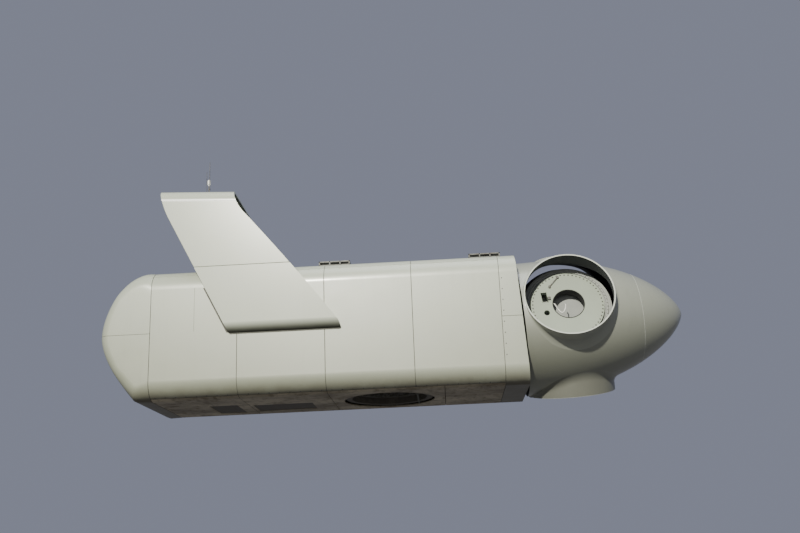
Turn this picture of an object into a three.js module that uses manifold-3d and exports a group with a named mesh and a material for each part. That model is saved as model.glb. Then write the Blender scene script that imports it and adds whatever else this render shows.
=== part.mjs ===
// Wind turbine nacelle with its hub and spinner, and the cooler that stands on its rear.
// Millimetres. +X points forward to the spinner's nose, +Y to the machine's left, +Z up.
// The origin is on the yaw axis, at the underside of the yaw ring, where the tower's flange is.

import * as THREE from 'three';
import { mergeVertices } from 'three/addons/utils/BufferGeometryUtils.js';
import Module from 'manifold-3d';

const wasm = await Module();
wasm.setup();

// Housing
const BODY_WIDTH = 3500;
const ROOF_Z = 3200;
const FLOOR_Z = -50;
const TOP_RADIUS = 550;
const BOTTOM_RADIUS = 450;
const PANEL = 30;
const GAP = 0.3;
const BAY = 2135;
const REAR_X = -5680;
const FRONT_RING_X = REAR_X + 4 * BAY;
const FRONT_X = 3355;
const ROOF_SEAM_TURN = 45;
const FLOOR_SEAM_TURN = 65;
const SEAM_TRIM = 0.1;
const CORNER_STEP = 15;
const HALF_WIDTH = BODY_WIDTH / 2;
const RING_SEAM_Z = 1560;

// Rear cap: a profile swept about a line across the housing
const CAP_AXIS_Z = 1560;
const CAP_REAR_X = -6915;
const CAP_STEPS = 8;
const CAP_CORNER = { radius: 200, from: 900 };

// Floor openings
const TOWER_HOLE_RADIUS = 1140;
const FLOOR_SEAMS = [REAR_X, -3545, -1410, 1410, FRONT_RING_X];
const GRILLE_RECESS = 12;
const REAR_HATCH = { x: -4180, y: 330, length: 700, width: 1300 };
const MID_HATCH = { x: -2700, y: 330, length: 1500, width: 1000 };

// Wall behind the spinner
const BULKHEAD_SETBACK = 100;
const BULKHEAD_HOLE = { drop: 60, radius: 760 };

// Load path inside the housing
const YAW_RING = { inner: 950, outer: 1100, height: 160 };
const GLIDE_GAP = 0.4;
const GIRDER_WIDTH = 160;
const GIRDER_Y = 1140;
const BEDPLATE = { rear: -1500, front: 2750, height: 290, bore: 800 };
const SHAFT_RADIUS = 300;
const SHAFT_REAR = -3400;
const SHAFT_COLLAR_RADIUS = 420;
const SHAFT_FLANGE_RADIUS = 600;
const BEARING_BARREL = { front: -1950, length: 650, radius: 620, clearance: 8 };
const PEDESTAL = { halfWidth: 760, low: -1700, high: -120, inset: 40 };

// Rotor
const HUB = { x: 4550, z: 1650 };
const ROTOR_TILT = 3;
const FIRST_BLADE_TURN = 75.9;
const BLADES = 3;
const SPINNER_BACK = -1145;
const SPINNER_DRUM_END = -745;
const SPINNER_TIP = 2985;
const SPINNER_RADIUS = 1700;
const SPINNER_POWER = 0.65;
const SPINNER_WALL = 25;
const NOSE_SEAM = 1785;
const RIM_HEIGHT = 1712;
const COLLAR_RADIUS = 1100;
const COLLAR_WALL = 35;
const FOOT_MAX = 140;
const FOOT_MIN = 12;
const COLLAR_STEPS = 36;
const HUB_SPHERE = 960;
const HUB_WALL = 90;
const FLANGE_HEIGHT = 930;
const BEARING_OUTER = 1100;
const BEARING_INNER = 800;
const BEARING_TOP = 1040;
const PLATE_RADIUS = 900;
const PLATE_TOP = 1100;
const PLATE_SEAT = 970;
const MANHOLE = { x: 30, y: 35, radius: 385 };
const PLATE_SLOT = [[-611, 413], [-467, 415], [-448, 131], [-590, 129]];
const PLATE_PORT = { x: -532, y: -156, radius: 70 };
const HUB_WEB = { low: 700, high: 760, edge: -200 };
const HUB_BOSS_RADIUS = 620;
const HUB_BOSS_BACK = -1160;
const RING_STEPS = 36;
const SPINNER_STEPS = 48;

// Cooler
const COOLER_Y = 1900;
const COOLER_WALL = 60;
const COOLER_SEAM_Z = 3150;
const COOLER_TOP_Z = 5180;
const COOLER_TOP_FRONT = -3652;
const COOLER_TOP_RISE = 0.048;
const COOLER_BEND = 330;
const COOLER_LOW_Z = 1480;
const COOLER_LIP = { depth: 149.7, height: 240 };
const BEAM_X = { rear: -4350, front: -3200 };
const BEAM = 120;
const RADIATOR = { count: 3, width: 1040, depth: 200, footX: -3200, headX: -4400 };
const RADIATOR_FRAME = { recess: 40, bar: 60, rails: [0.03, 0.5, 0.97] };

// Roof fittings
const LIFTING_FRAME = { length: 780, width: 260, height: 120, bar: 30, end: 50, y: 1120 };
const LIFTING_FRAME_X = [-1200, 2560];
const WIND_SENSOR = { x: -4480, y: -1000, radius: 18, height: 620 };
const LIGHTNING_ROD = { x: -4455, y: -1060, radius: 8, height: 1100 };
const THIN_ROD = { x: -4545, y: -1000, radius: 6, height: 850 };

const DEG = Math.PI / 180;
const TILT_TAN = Math.tan(ROTOR_TILT * DEG);
const ACROSS_TO_ALONG = new THREE.Matrix4().makeBasis(
  new THREE.Vector3(0, 1, 0),
  new THREE.Vector3(0, 0, 1),
  new THREE.Vector3(1, 0, 0),
);

function paint(color, roughness, metalness) {
  return new THREE.MeshStandardMaterial({ color, roughness, metalness });
}

const shellPaint = () => paint(0xc4c6ba, 0.45, 0);
const coolerPaint = () => paint(0xcfd0c8, 0.4, 0);
const steelPaint = () => paint(0x8b8d88, 0.5, 0.3);
const castPaint = () => paint(0x7c7f7d, 0.6, 0.2);
const bearingSteel = () => paint(0x4a4e58, 0.4, 0.7);
const hatchPaint = () => paint(0x3c3b36, 0.7, 0);
const coreMetal = () => paint(0x3a3d40, 0.5, 0.6);

// Solids and meshes

function toSolid(geometry) {
  const bare = geometry.index ? geometry.toNonIndexed() : geometry.clone();
  bare.deleteAttribute('normal');
  bare.deleteAttribute('uv');
  const merged = mergeVertices(bare, 1e-3);
  const corners = [];
  const index = merged.index.array;
  for (let i = 0; i < index.length; i += 3) {
    const [a, b, c] = [index[i], index[i + 1], index[i + 2]];
    if (a !== b && b !== c && c !== a) corners.push(a, b, c);
  }
  return new wasm.Manifold(new wasm.Mesh({
    numProp: 3,
    vertProperties: merged.attributes.position.array,
    triVerts: Uint32Array.from(corners),
  }));
}

function toGeometry(solid) {
  const mesh = solid.getMesh();
  const geometry = new THREE.BufferGeometry();
  geometry.setAttribute('position', new THREE.BufferAttribute(mesh.vertProperties, 3));
  geometry.setIndex(new THREE.BufferAttribute(mesh.triVerts, 1));
  return geometry;
}

function named(name, geometry, material) {
  const mesh = new THREE.Mesh(geometry, material);
  mesh.name = name;
  return mesh;
}

// Joins rings of points into a closed solid: round and round, or from end to end with fans.
function loft(rings, endless) {
  const count = rings[0].length;
  const points = rings.flat();
  const index = [];
  const spans = endless ? rings.length : rings.length - 1;
  for (let i = 0; i < spans; i += 1) {
    const next = (i + 1) % rings.length;
    for (let j = 0; j < count; j += 1) {
      const side = (j + 1) % count;
      const a = i * count + j;
      const b = i * count + side;
      const c = next * count + side;
      const d = next * count + j;
      index.push(a, b, c, a, c, d);
    }
  }
  if (!endless) {
    const last = (rings.length - 1) * count;
    for (let j = 1; j < count - 1; j += 1) {
      index.push(0, j + 1, j, last, last + j, last + j + 1);
    }
  }
  const volume = signedVolume(points, index);
  if (volume < 0) index.reverse();
  const geometry = new THREE.BufferGeometry().setFromPoints(points);
  geometry.setIndex(index);
  return geometry;
}

function signedVolume(points, index) {
  let volume = 0;
  for (let i = 0; i < index.length; i += 3) {
    const [a, b, c] = [points[index[i]], points[index[i + 1]], points[index[i + 2]]];
    volume += a.dot(b.clone().cross(c));
  }
  return volume;
}

// Extrudes an outline drawn in Y and Z along X, from x = 0.
function alongX(shape, length) {
  const geometry = new THREE.ExtrudeGeometry(shape, { depth: length, bevelEnabled: false });
  return geometry.applyMatrix4(ACROSS_TO_ALONG);
}

// Extrudes an outline drawn in X and Z across Y, from `low` to `high`.
function acrossY(shape, low, high) {
  const geometry = new THREE.ExtrudeGeometry(shape, { depth: high - low, bevelEnabled: false });
  return geometry.rotateX(Math.PI / 2).translate(0, high, 0);
}

function boxBetween(low, high) {
  const size = high.map((value, axis) => value - low[axis]);
  const centre = high.map((value, axis) => (value + low[axis]) / 2);
  return new THREE.BoxGeometry(...size).translate(...centre);
}

// Turned solid about the X axis, from a profile of [x, radius] points.
function turned(profile, steps) {
  const points = profile.map(([x, radius]) => new THREE.Vector2(radius, x));
  return new THREE.LatheGeometry(points, steps).rotateZ(-Math.PI / 2);
}

// Upright cylinder about Z between two heights.
function post(radius, low, high, steps) {
  const geometry = new THREE.CylinderGeometry(radius, radius, high - low, steps);
  return geometry.rotateX(Math.PI / 2).translate(0, 0, (low + high) / 2);
}

// Upright ring about Z, from a closed profile of [radius, z] points.
function uprightRing(profile, steps) {
  const points = [...profile, profile[0]].map(([radius, z]) => new THREE.Vector2(radius, z));
  return new THREE.LatheGeometry(points, steps).rotateX(Math.PI / 2);
}

// Housing section

function arc(y, z, radius, from, to) {
  const steps = Math.max(1, Math.round(Math.abs(to - from) / CORNER_STEP));
  return Array.from({ length: steps + 1 }, (_, i) => {
    const turn = (from + (to - from) * i / steps) * DEG;
    return new THREE.Vector2(y + radius * Math.cos(turn), z + radius * Math.sin(turn));
  });
}

function topArc(side, inset, from, to) {
  return arc(side * (HALF_WIDTH - TOP_RADIUS), ROOF_Z - TOP_RADIUS, TOP_RADIUS - inset, from, to);
}

function bottomArc(side, inset, from, to) {
  const z = FLOOR_Z + BOTTOM_RADIUS;
  return arc(side * (HALF_WIDTH - BOTTOM_RADIUS), z, BOTTOM_RADIUS - inset, from, to);
}

function band(path) {
  return new THREE.Shape([...path(0), ...path(PANEL).reverse()]);
}

const wallPath = (inset) => [
  ...bottomArc(1, inset, SEAM_TRIM - FLOOR_SEAM_TURN, 0),
  ...topArc(1, inset, 0, ROOF_SEAM_TURN - SEAM_TRIM),
];
const roofPath = (inset) => [
  ...topArc(1, inset, ROOF_SEAM_TURN, 90),
  ...topArc(-1, inset, 90, 180 - ROOF_SEAM_TURN),
];
const floorPath = (inset) => [
  ...bottomArc(-1, inset, 180 + FLOOR_SEAM_TURN, 270),
  ...bottomArc(1, inset, 270, 360 - FLOOR_SEAM_TURN),
];
const ringUpperPath = (inset) => [
  new THREE.Vector2(HALF_WIDTH - inset, RING_SEAM_Z + GAP),
  ...topArc(1, inset, 0, 90),
  ...topArc(-1, inset, 90, 180),
  new THREE.Vector2(inset - HALF_WIDTH, RING_SEAM_Z + GAP),
];
const ringLowerPath = (inset) => [
  new THREE.Vector2(inset - HALF_WIDTH, RING_SEAM_Z),
  ...bottomArc(-1, inset, 180, 270),
  ...bottomArc(1, inset, 270, 360),
  new THREE.Vector2(HALF_WIDTH - inset, RING_SEAM_Z),
];
const sectionPath = (inset) => [
  ...topArc(1, inset, 0, 90),
  ...topArc(-1, inset, 90, 180),
  ...bottomArc(-1, inset, 180, 270),
  ...bottomArc(1, inset, 270, 360),
];

// Leans what lies beyond `from` so that it stands square to the tilted rotor axis.
function leanBack(geometry, from) {
  const place = geometry.attributes.position;
  for (let i = 0; i < place.count; i += 1) {
    if (place.getX(i) > from) place.setX(i, place.getX(i) - (place.getZ(i) - HUB.z) * TILT_TAN);
  }
  return geometry;
}

function wallPanels() {
  const panels = [];
  for (const [side, word] of [[-1, 'right'], [1, 'left']]) {
    for (let bay = 0; bay < 4; bay += 1) {
      const geometry = alongX(band(wallPath), BAY - GAP);
      const panel = named(`wall_${word}_${bay + 1}`, geometry, shellPaint());
      panel.position.x = REAR_X + bay * BAY;
      if (side < 0) {
        panel.rotation.z = Math.PI;
        panel.position.x += BAY - GAP;
      }
      panels.push(panel);
    }
  }
  return panels;
}

function roofPanels() {
  return Array.from({ length: 4 }, (_, bay) => {
    const panel = named(`roof_${bay + 1}`, alongX(band(roofPath), BAY - GAP), shellPaint());
    panel.position.x = REAR_X + bay * BAY;
    return panel;
  });
}

function hatchBox(hatch, trim, low, high) {
  return boxBetween(
    [hatch.x - hatch.length / 2 + trim, hatch.y - hatch.width / 2 + trim, low],
    [hatch.x + hatch.length / 2 - trim, hatch.y + hatch.width / 2 - trim, high],
  );
}

function floorPanels() {
  const towerHole = toSolid(post(TOWER_HOLE_RADIUS, FLOOR_Z - 100, FLOOR_Z + 100, 48));
  const hatches = [REAR_HATCH, MID_HATCH].map((hatch) => toSolid(
    hatchBox(hatch, 0, FLOOR_Z - 100, FLOOR_Z + 100),
  ));
  return FLOOR_SEAMS.slice(0, -1).map((start, i) => {
    const length = FLOOR_SEAMS[i + 1] - start - GAP;
    let solid = toSolid(alongX(band(floorPath), length).translate(start, 0, 0));
    for (const cut of [towerHole, ...hatches]) solid = solid.subtract(cut);
    return named(`floor_${i + 1}`, toGeometry(solid), shellPaint());
  });
}

function floorHatches() {
  const low = FLOOR_Z + GRILLE_RECESS;
  return [['floor_hatch_rear', REAR_HATCH], ['floor_hatch_middle', MID_HATCH]].map(
    ([name, hatch]) => named(name, hatchBox(hatch, GAP, low, FLOOR_Z + PANEL), hatchPaint()),
  );
}

// Rear cap

function capProfile() {
  const upper = new THREE.CubicBezierCurve(
    new THREE.Vector2(REAR_X - 70, ROOF_Z),
    new THREE.Vector2(REAR_X - 670, ROOF_Z),
    new THREE.Vector2(CAP_REAR_X, CAP_AXIS_Z + 650),
    new THREE.Vector2(CAP_REAR_X, CAP_AXIS_Z),
  );
  const lower = new THREE.CubicBezierCurve(
    new THREE.Vector2(CAP_REAR_X, CAP_AXIS_Z),
    new THREE.Vector2(CAP_REAR_X, CAP_AXIS_Z - 410),
    new THREE.Vector2(CAP_REAR_X + 295, CAP_AXIS_Z - 940),
    new THREE.Vector2(CAP_REAR_X + 845, FLOOR_Z),
  );
  return {
    upper: [new THREE.Vector2(REAR_X, ROOF_Z), ...upper.getPoints(CAP_STEPS)],
    lower: [...lower.getPoints(CAP_STEPS), new THREE.Vector2(REAR_X, FLOOR_Z)],
  };
}

function capSolid(profile, inset) {
  const half = HALF_WIDTH - inset;
  const rings = profile.map((point) => {
    const ray = new THREE.Vector2(point.x - REAR_X, point.y - CAP_AXIS_Z);
    const reach = ray.length() - inset;
    const drop = THREE.MathUtils.clamp((ROOF_Z - point.y) / (ROOF_Z - FLOOR_Z), 0, 1);
    const back = THREE.MathUtils.clamp((REAR_X - point.x) / CAP_CORNER.from, 0, 1);
    const wide = THREE.MathUtils.lerp(TOP_RADIUS, BOTTOM_RADIUS, drop);
    const radius = THREE.MathUtils.lerp(wide, CAP_CORNER.radius, back) - inset;
    ray.normalize();
    const corner = arc(half - radius, reach - radius, radius, 0, 90);
    const across = [
      new THREE.Vector2(half, 0),
      ...corner,
      ...corner.map((spot) => new THREE.Vector2(-spot.x, spot.y)).reverse(),
      new THREE.Vector2(-half, 0),
    ];
    return across.map((spot) => new THREE.Vector3(
      REAR_X + ray.x * spot.y,
      spot.x,
      CAP_AXIS_Z + ray.y * spot.y,
    ));
  });
  return toSolid(loft(rings, false));
}

function rearCap() {
  const { upper, lower } = capProfile();
  const inside = capSolid([...upper, ...lower.slice(1)], PANEL).translate([1, 0, 0]);
  const upperCap = capSolid(upper, 0).subtract(inside);
  const lowerCap = capSolid(lower, 0).subtract(inside);
  const meshes = [
    named('rear_cap_upper', toGeometry(upperCap), shellPaint()),
    named('rear_cap_lower', toGeometry(lowerCap), shellPaint()),
  ];
  meshes[0].position.x = -GAP;
  meshes[1].position.set(-GAP, 0, -GAP);
  return meshes;
}

function frontRing() {
  const length = FRONT_X - FRONT_RING_X;
  return [['front_ring_upper', ringUpperPath], ['front_ring_lower', ringLowerPath]].map(
    ([name, path]) => {
      const geometry = alongX(band(path), length);
      return named(name, leanBack(geometry.translate(FRONT_RING_X, 0, 0), FRONT_X - 1), shellPaint());
    },
  );
}

function frontBulkhead() {
  const outline = new THREE.Shape(sectionPath(PANEL + GAP));
  const { drop, radius } = BULKHEAD_HOLE;
  const hole = new THREE.Path().absarc(0, HUB.z - drop, radius, 0, 2 * Math.PI, true);
  outline.holes.push(new THREE.Path(hole.getPoints(12)));
  const geometry = alongX(outline, PANEL).translate(FRONT_X - BULKHEAD_SETBACK, 0, 0);
  return named('front_bulkhead', leanBack(geometry, 0), hatchPaint());
}

// Load path

function yawRing() {
  const { inner, outer, height } = YAW_RING;
  const ring = uprightRing([[inner, 0], [outer, 0], [outer, height], [inner, height]], 48);
  return named('yaw_ring', ring, bearingSteel());
}

function girders() {
  const top = YAW_RING.height;
  return [[-1, 'right'], [1, 'left']].map(([side, word]) => {
    const near = side * GIRDER_Y;
    const far = side * (GIRDER_Y + GIRDER_WIDTH);
    const geometry = boxBetween(
      [REAR_X + 100, Math.min(near, far), FLOOR_Z + PANEL + GAP],
      [FRONT_RING_X - 40, Math.max(near, far), top],
    );
    return named(`girder_${word}`, geometry, steelPaint());
  });
}

function bedplate() {
  const half = GIRDER_Y + GIRDER_WIDTH - 20;
  const low = YAW_RING.height + GLIDE_GAP;
  const slab = toSolid(boxBetween(
    [BEDPLATE.rear, -half, low],
    [BEDPLATE.front, half, low + BEDPLATE.height],
  ));
  const bore = toSolid(post(BEDPLATE.bore, low - 100, low + BEDPLATE.height + 100, 48));
  return named('bedplate', toGeometry(slab.subtract(bore)), castPaint());
}

function rotorMatrix() {
  const matrix = new THREE.Matrix4().makeRotationY(-ROTOR_TILT * DEG);
  return matrix.setPosition(HUB.x, 0, HUB.z);
}

function mainBearing() {
  const { front, length, radius, clearance } = BEARING_BARREL;
  const back = front - length;
  const bore = SHAFT_RADIUS + clearance;
  const { halfWidth, low, high, inset } = PEDESTAL;
  const [barrel, pedestal, inside] = [
    turned([[back, 0], [back, radius], [front, radius], [front, 0]], 32),
    boxBetween([back + inset, -halfWidth, low], [front - inset, halfWidth, high]),
    turned([[back - 50, 0], [back - 50, bore], [front + 50, bore], [front + 50, 0]], 48),
  ].map((geometry) => toSolid(geometry.applyMatrix4(rotorMatrix())));
  const bedplateTop = YAW_RING.height + GLIDE_GAP + BEDPLATE.height + GAP;
  const below = toSolid(boxBetween([0, -2000, -2000], [5000, 2000, bedplateTop]));
  const solid = barrel.add(pedestal).subtract(inside).subtract(below);
  return named('main_bearing_housing', toGeometry(solid), castPaint());
}

// Rotor

function spinnerRadius(x) {
  const reach = Math.max(0, (x - SPINNER_DRUM_END) / (SPINNER_TIP - SPINNER_DRUM_END));
  return SPINNER_RADIUS * (1 - Math.min(1, reach) ** 2) ** SPINNER_POWER;
}

function spinnerLine(from, to, steps, inset) {
  return Array.from({ length: steps + 1 }, (_, i) => {
    const x = from + (to - from) * i / steps;
    return [x, Math.max(0, spinnerRadius(x) - inset)];
  });
}

function footWidth(turn) {
  const x = COLLAR_RADIUS * Math.cos(turn);
  const y = COLLAR_RADIUS * Math.sin(turn);
  const rise = RIM_HEIGHT - surfaceHeight(x, y);
  return THREE.MathUtils.clamp(FOOT_MIN + 0.4 * (rise - FOOT_MIN), FOOT_MIN, FOOT_MAX);
}

// Height of the spinner's skin above the rotor axis, in a blade's own frame.
function surfaceHeight(x, y) {
  return Math.sqrt(spinnerRadius(x) ** 2 - y ** 2);
}

function collarSection(turn) {
  const foot = COLLAR_RADIUS + footWidth(turn);
  const heightAt = (radius) => surfaceHeight(radius * Math.cos(turn), radius * Math.sin(turn));
  const skin = heightAt(COLLAR_RADIUS);
  const ease = 8;
  const inner = COLLAR_RADIUS - COLLAR_WALL;
  const bendTop = Math.min(RIM_HEIGHT - ease - 2, skin + footWidth(turn));
  const outside = new THREE.QuadraticBezierCurve(
    new THREE.Vector2(COLLAR_RADIUS, bendTop),
    new THREE.Vector2(COLLAR_RADIUS, Math.min(skin, bendTop - 1)),
    new THREE.Vector2(foot, heightAt(foot)),
  ).getPoints(3);
  const inside = new THREE.QuadraticBezierCurve(
    new THREE.Vector2(foot, heightAt(foot) - COLLAR_WALL),
    new THREE.Vector2(inner, skin - COLLAR_WALL),
    new THREE.Vector2(inner, bendTop - COLLAR_WALL),
  ).getPoints(3);
  const profile = [
    new THREE.Vector2(COLLAR_RADIUS, RIM_HEIGHT - ease),
    ...outside,
    ...inside,
    new THREE.Vector2(inner, RIM_HEIGHT - ease),
    new THREE.Vector2(inner + ease, RIM_HEIGHT),
    new THREE.Vector2(COLLAR_RADIUS - ease, RIM_HEIGHT),
  ];
  return profile.map((spot) => new THREE.Vector3(
    spot.x * Math.cos(turn),
    spot.x * Math.sin(turn),
    spot.y,
  ));
}

function collarGeometry() {
  const rings = Array.from({ length: COLLAR_STEPS }, (_, i) => (
    collarSection(2 * Math.PI * i / COLLAR_STEPS)
  ));
  return loft(rings, true);
}

function bladeTurn(index) {
  return (FIRST_BLADE_TURN + index * 360 / BLADES) * DEG;
}

function collarHole(index) {
  const outline = Array.from({ length: COLLAR_STEPS }, (_, i) => {
    const turn = 2 * Math.PI * i / COLLAR_STEPS;
    const reach = COLLAR_RADIUS + footWidth(turn) + 2 * GAP;
    return new THREE.Vector2(reach * Math.cos(turn), reach * Math.sin(turn));
  });
  const prism = new THREE.ExtrudeGeometry(new THREE.Shape(outline), {
    depth: 2000,
    bevelEnabled: false,
  });
  return toSolid(prism.translate(0, 0, 500).rotateX(bladeTurn(index)));
}

function spinnerShell() {
  const outside = spinnerLine(SPINNER_BACK, NOSE_SEAM - GAP, 8, 0);
  const inside = spinnerLine(SPINNER_BACK, NOSE_SEAM - GAP, 8, SPINNER_WALL).reverse();
  let solid = toSolid(turned([...outside, ...inside, outside[0]], SPINNER_STEPS));
  for (let i = 0; i < BLADES; i += 1) solid = solid.subtract(collarHole(i));
  return named('spinner_shell', toGeometry(solid), shellPaint());
}

function spinnerNose() {
  const outside = spinnerLine(NOSE_SEAM, SPINNER_TIP, 7, 0);
  const inside = spinnerLine(NOSE_SEAM, SPINNER_TIP - 60, 6, SPINNER_WALL).reverse();
  inside[0] = [inside[0][0], 0];
  return named('spinner_nose', turned([...outside, ...inside, outside[0]], SPINNER_STEPS), shellPaint());
}

function spinnerBack() {
  const back = SPINNER_BACK + 5;
  const front = back + 20;
  const outer = SPINNER_RADIUS - SPINNER_WALL - GAP;
  const inner = HUB_BOSS_RADIUS + GAP;
  const profile = [[back, inner], [back, outer], [front, outer], [front, inner], [back, inner]];
  return named('spinner_back', turned(profile, SPINNER_STEPS), shellPaint());
}

// Web across a blade's opening in the hub: the lower part of the opening stays free.
function hubWeb(index) {
  const { low, high, edge } = HUB_WEB;
  const reach = BEARING_INNER + HUB_WALL / 2;
  const disc = toSolid(post(reach, low, high, RING_STEPS));
  const upper = toSolid(boxBetween([-reach - 1, edge, low - 1], [reach + 1, reach + 1, high + 1]));
  return disc.intersect(upper).rotate(bladeTurn(index) / DEG, 0, 0);
}

function hubCasting() {
  let outside = toSolid(new THREE.SphereGeometry(HUB_SPHERE, 24, 14));
  outside = outside.add(toSolid(turned([
    [HUB_BOSS_BACK, 0],
    [HUB_BOSS_BACK, HUB_BOSS_RADIUS],
    [0, HUB_BOSS_RADIUS],
    [0, 0],
  ], SPINNER_STEPS)));
  let inside = toSolid(new THREE.SphereGeometry(HUB_SPHERE - HUB_WALL, 18, 10));
  for (let i = 0; i < BLADES; i += 1) {
    const flange = post(BEARING_OUTER, FLANGE_HEIGHT - 130, FLANGE_HEIGHT, RING_STEPS);
    const neck = post(BEARING_INNER + HUB_WALL, 0, FLANGE_HEIGHT - 60, RING_STEPS);
    const bore = post(BEARING_INNER, 0, FLANGE_HEIGHT + 100, RING_STEPS);
    outside = outside.add(toSolid(flange.rotateX(bladeTurn(i))));
    outside = outside.add(toSolid(neck.rotateX(bladeTurn(i))));
    inside = inside.add(toSolid(bore.rotateX(bladeTurn(i))));
  }
  let casting = outside.subtract(inside);
  for (let i = 0; i < BLADES; i += 1) casting = casting.add(hubWeb(i));
  return named('hub_casting', toGeometry(casting), castPaint());
}

function mainShaft() {
  const front = HUB_BOSS_BACK - GAP;
  const thrust = BEARING_BARREL.front + GLIDE_GAP;
  const neck = SHAFT_RADIUS + 60;
  const profile = [
    [SHAFT_REAR, 0],
    [SHAFT_REAR, SHAFT_RADIUS],
    [thrust, SHAFT_RADIUS],
    [thrust, SHAFT_COLLAR_RADIUS],
    [thrust + 90, SHAFT_COLLAR_RADIUS],
    [thrust + 300, neck],
    [front - 260, neck],
    [front - 140, SHAFT_FLANGE_RADIUS],
    [front, SHAFT_FLANGE_RADIUS],
    [front, 0],
  ];
  return named('main_shaft', turned(profile, 32), bearingSteel());
}

function bearingRing(index) {
  const base = FLANGE_HEIGHT + GAP;
  const ring = uprightRing([
    [BEARING_INNER, base],
    [BEARING_OUTER, base],
    [BEARING_OUTER, BEARING_TOP],
    [PLATE_RADIUS + 10, BEARING_TOP],
    [PLATE_RADIUS + 10, PLATE_SEAT],
    [BEARING_INNER, PLATE_SEAT],
  ], RING_STEPS);
  return named(`bearing_ring_${index + 1}`, ring, bearingSteel());
}

function pitchPlate(index) {
  const seat = PLATE_SEAT + GLIDE_GAP;
  const outline = new THREE.Shape().absarc(0, 0, PLATE_RADIUS, 0, 2 * Math.PI);
  outline.holes.push(new THREE.Path().absarc(MANHOLE.x, MANHOLE.y, MANHOLE.radius, 0, 2 * Math.PI));
  outline.holes.push(new THREE.Path(PLATE_SLOT.map(([x, y]) => new THREE.Vector2(x, y))));
  const port = toSolid(post(PLATE_PORT.radius, seat - 10, PLATE_TOP + 10, 16));
  const plate = new THREE.ExtrudeGeometry(outline, {
    depth: PLATE_TOP - seat,
    bevelEnabled: false,
    curveSegments: RING_STEPS / 2,
  });
  const solid = toSolid(plate.translate(0, 0, seat));
  const drilled = solid.subtract(port.translate(PLATE_PORT.x, PLATE_PORT.y, 0));
  return named(`pitch_plate_${index + 1}`, toGeometry(drilled), hatchPaint());
}

function rotorGroup() {
  const rotor = new THREE.Group();
  rotor.position.set(HUB.x, 0, HUB.z);
  rotor.rotation.y = -ROTOR_TILT * DEG;
  rotor.add(spinnerShell(), spinnerNose(), spinnerBack(), hubCasting(), mainShaft());
  for (let i = 0; i < BLADES; i += 1) {
    const blade = new THREE.Group();
    blade.rotation.x = bladeTurn(i);
    blade.add(named(`collar_${i + 1}`, collarGeometry(), shellPaint()));
    blade.add(bearingRing(i), pitchPlate(i));
    rotor.add(blade);
  }
  return rotor;
}

// Cooler

// Height of the cooler's top, which rises towards the rear.
function coolerTopAt(x) {
  return COOLER_TOP_Z + COOLER_TOP_RISE * (COOLER_TOP_FRONT - x);
}

function withTopRise(geometry) {
  const shift = COOLER_TOP_RISE * COOLER_TOP_FRONT;
  const lean = new THREE.Matrix4().set(
    1, 0, 0, 0,
    0, 1, 0, 0,
    -COOLER_TOP_RISE, 0, 1, shift,
    0, 0, 0, 1,
  );
  return geometry.applyMatrix4(lean);
}

function coolerOutline() {
  const shape = new THREE.Shape();
  shape.moveTo(-1010, COOLER_LOW_Z);
  shape.quadraticCurveTo(-1040, 1630, -1090, 1690);
  shape.quadraticCurveTo(-2180, 3150, -3360, 4520);
  shape.quadraticCurveTo(-3620, 4820, COOLER_TOP_FRONT, COOLER_TOP_Z);
  shape.lineTo(-5530, coolerTopAt(-5530));
  shape.quadraticCurveTo(-5435, 4760, -5250, 4420);
  shape.lineTo(-3735, COOLER_LOW_Z);
  return new THREE.Shape(shape.getPoints(8));
}

// Section of a lower side piece in Y and Z: it stands off the wall and rounds in at its foot.
function coolerLowerSection(side) {
  const { depth, height } = COOLER_LIP;
  const back = COOLER_Y - depth;
  const foot = new THREE.EllipseCurve(back, COOLER_LOW_Z + height, depth, height, -Math.PI / 2, 0);
  const outline = [
    ...foot.getPoints(5),
    new THREE.Vector2(COOLER_Y, COOLER_SEAM_Z),
    new THREE.Vector2(back, COOLER_SEAM_Z),
  ];
  return new THREE.Shape(outline.map((spot) => new THREE.Vector2(side * spot.x, spot.y)));
}

function coolerSide(side, word) {
  const slab = (near) => acrossY(
    coolerOutline(),
    Math.min(side * near, side * COOLER_Y),
    Math.max(side * near, side * COOLER_Y),
  );
  const belowTop = toSolid(withTopRise(boxBetween(
    [-6000, -2500, 0],
    [0, 2500, COOLER_TOP_Z - COOLER_BEND - GAP],
  )));
  const aboveSeam = toSolid(boxBetween([-6000, -2500, COOLER_SEAM_Z + GAP], [0, 2500, 6000]));
  const upper = toSolid(slab(COOLER_Y - COOLER_WALL)).intersect(belowTop).intersect(aboveSeam);
  const lowerCut = toSolid(alongX(coolerLowerSection(side), 6000).translate(-6000, 0, 0));
  const lower = toSolid(slab(COOLER_Y - COOLER_LIP.depth)).intersect(lowerCut);
  return [
    named(`cooler_side_upper_${word}`, toGeometry(upper), coolerPaint()),
    named(`cooler_side_lower_${word}`, toGeometry(lower), coolerPaint()),
  ];
}

function coolerTop() {
  const z = COOLER_TOP_Z - COOLER_BEND;
  const y = COOLER_Y - COOLER_BEND;
  const path = (inset) => [
    ...arc(y, z, COOLER_BEND - inset, 0, 90),
    ...arc(-y, z, COOLER_BEND - inset, 90, 180),
  ];
  const shape = new THREE.Shape([...path(0), ...path(COOLER_WALL).reverse()]);
  const sheet = toSolid(withTopRise(alongX(shape, 2500).translate(-6000, 0, 0)));
  const outline = toSolid(acrossY(coolerOutline(), -2500, 2500));
  return named('cooler_top', toGeometry(sheet.intersect(outline)), coolerPaint());
}

function coolerBeams() {
  const half = COOLER_Y - COOLER_WALL - GAP;
  const low = ROOF_Z + GAP;
  return Object.entries(BEAM_X).map(([word, x]) => {
    const beam = boxBetween([x - BEAM / 2, -half, low], [x + BEAM / 2, half, low + BEAM]);
    return named(`cooler_beam_${word}`, beam, steelPaint());
  });
}

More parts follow.
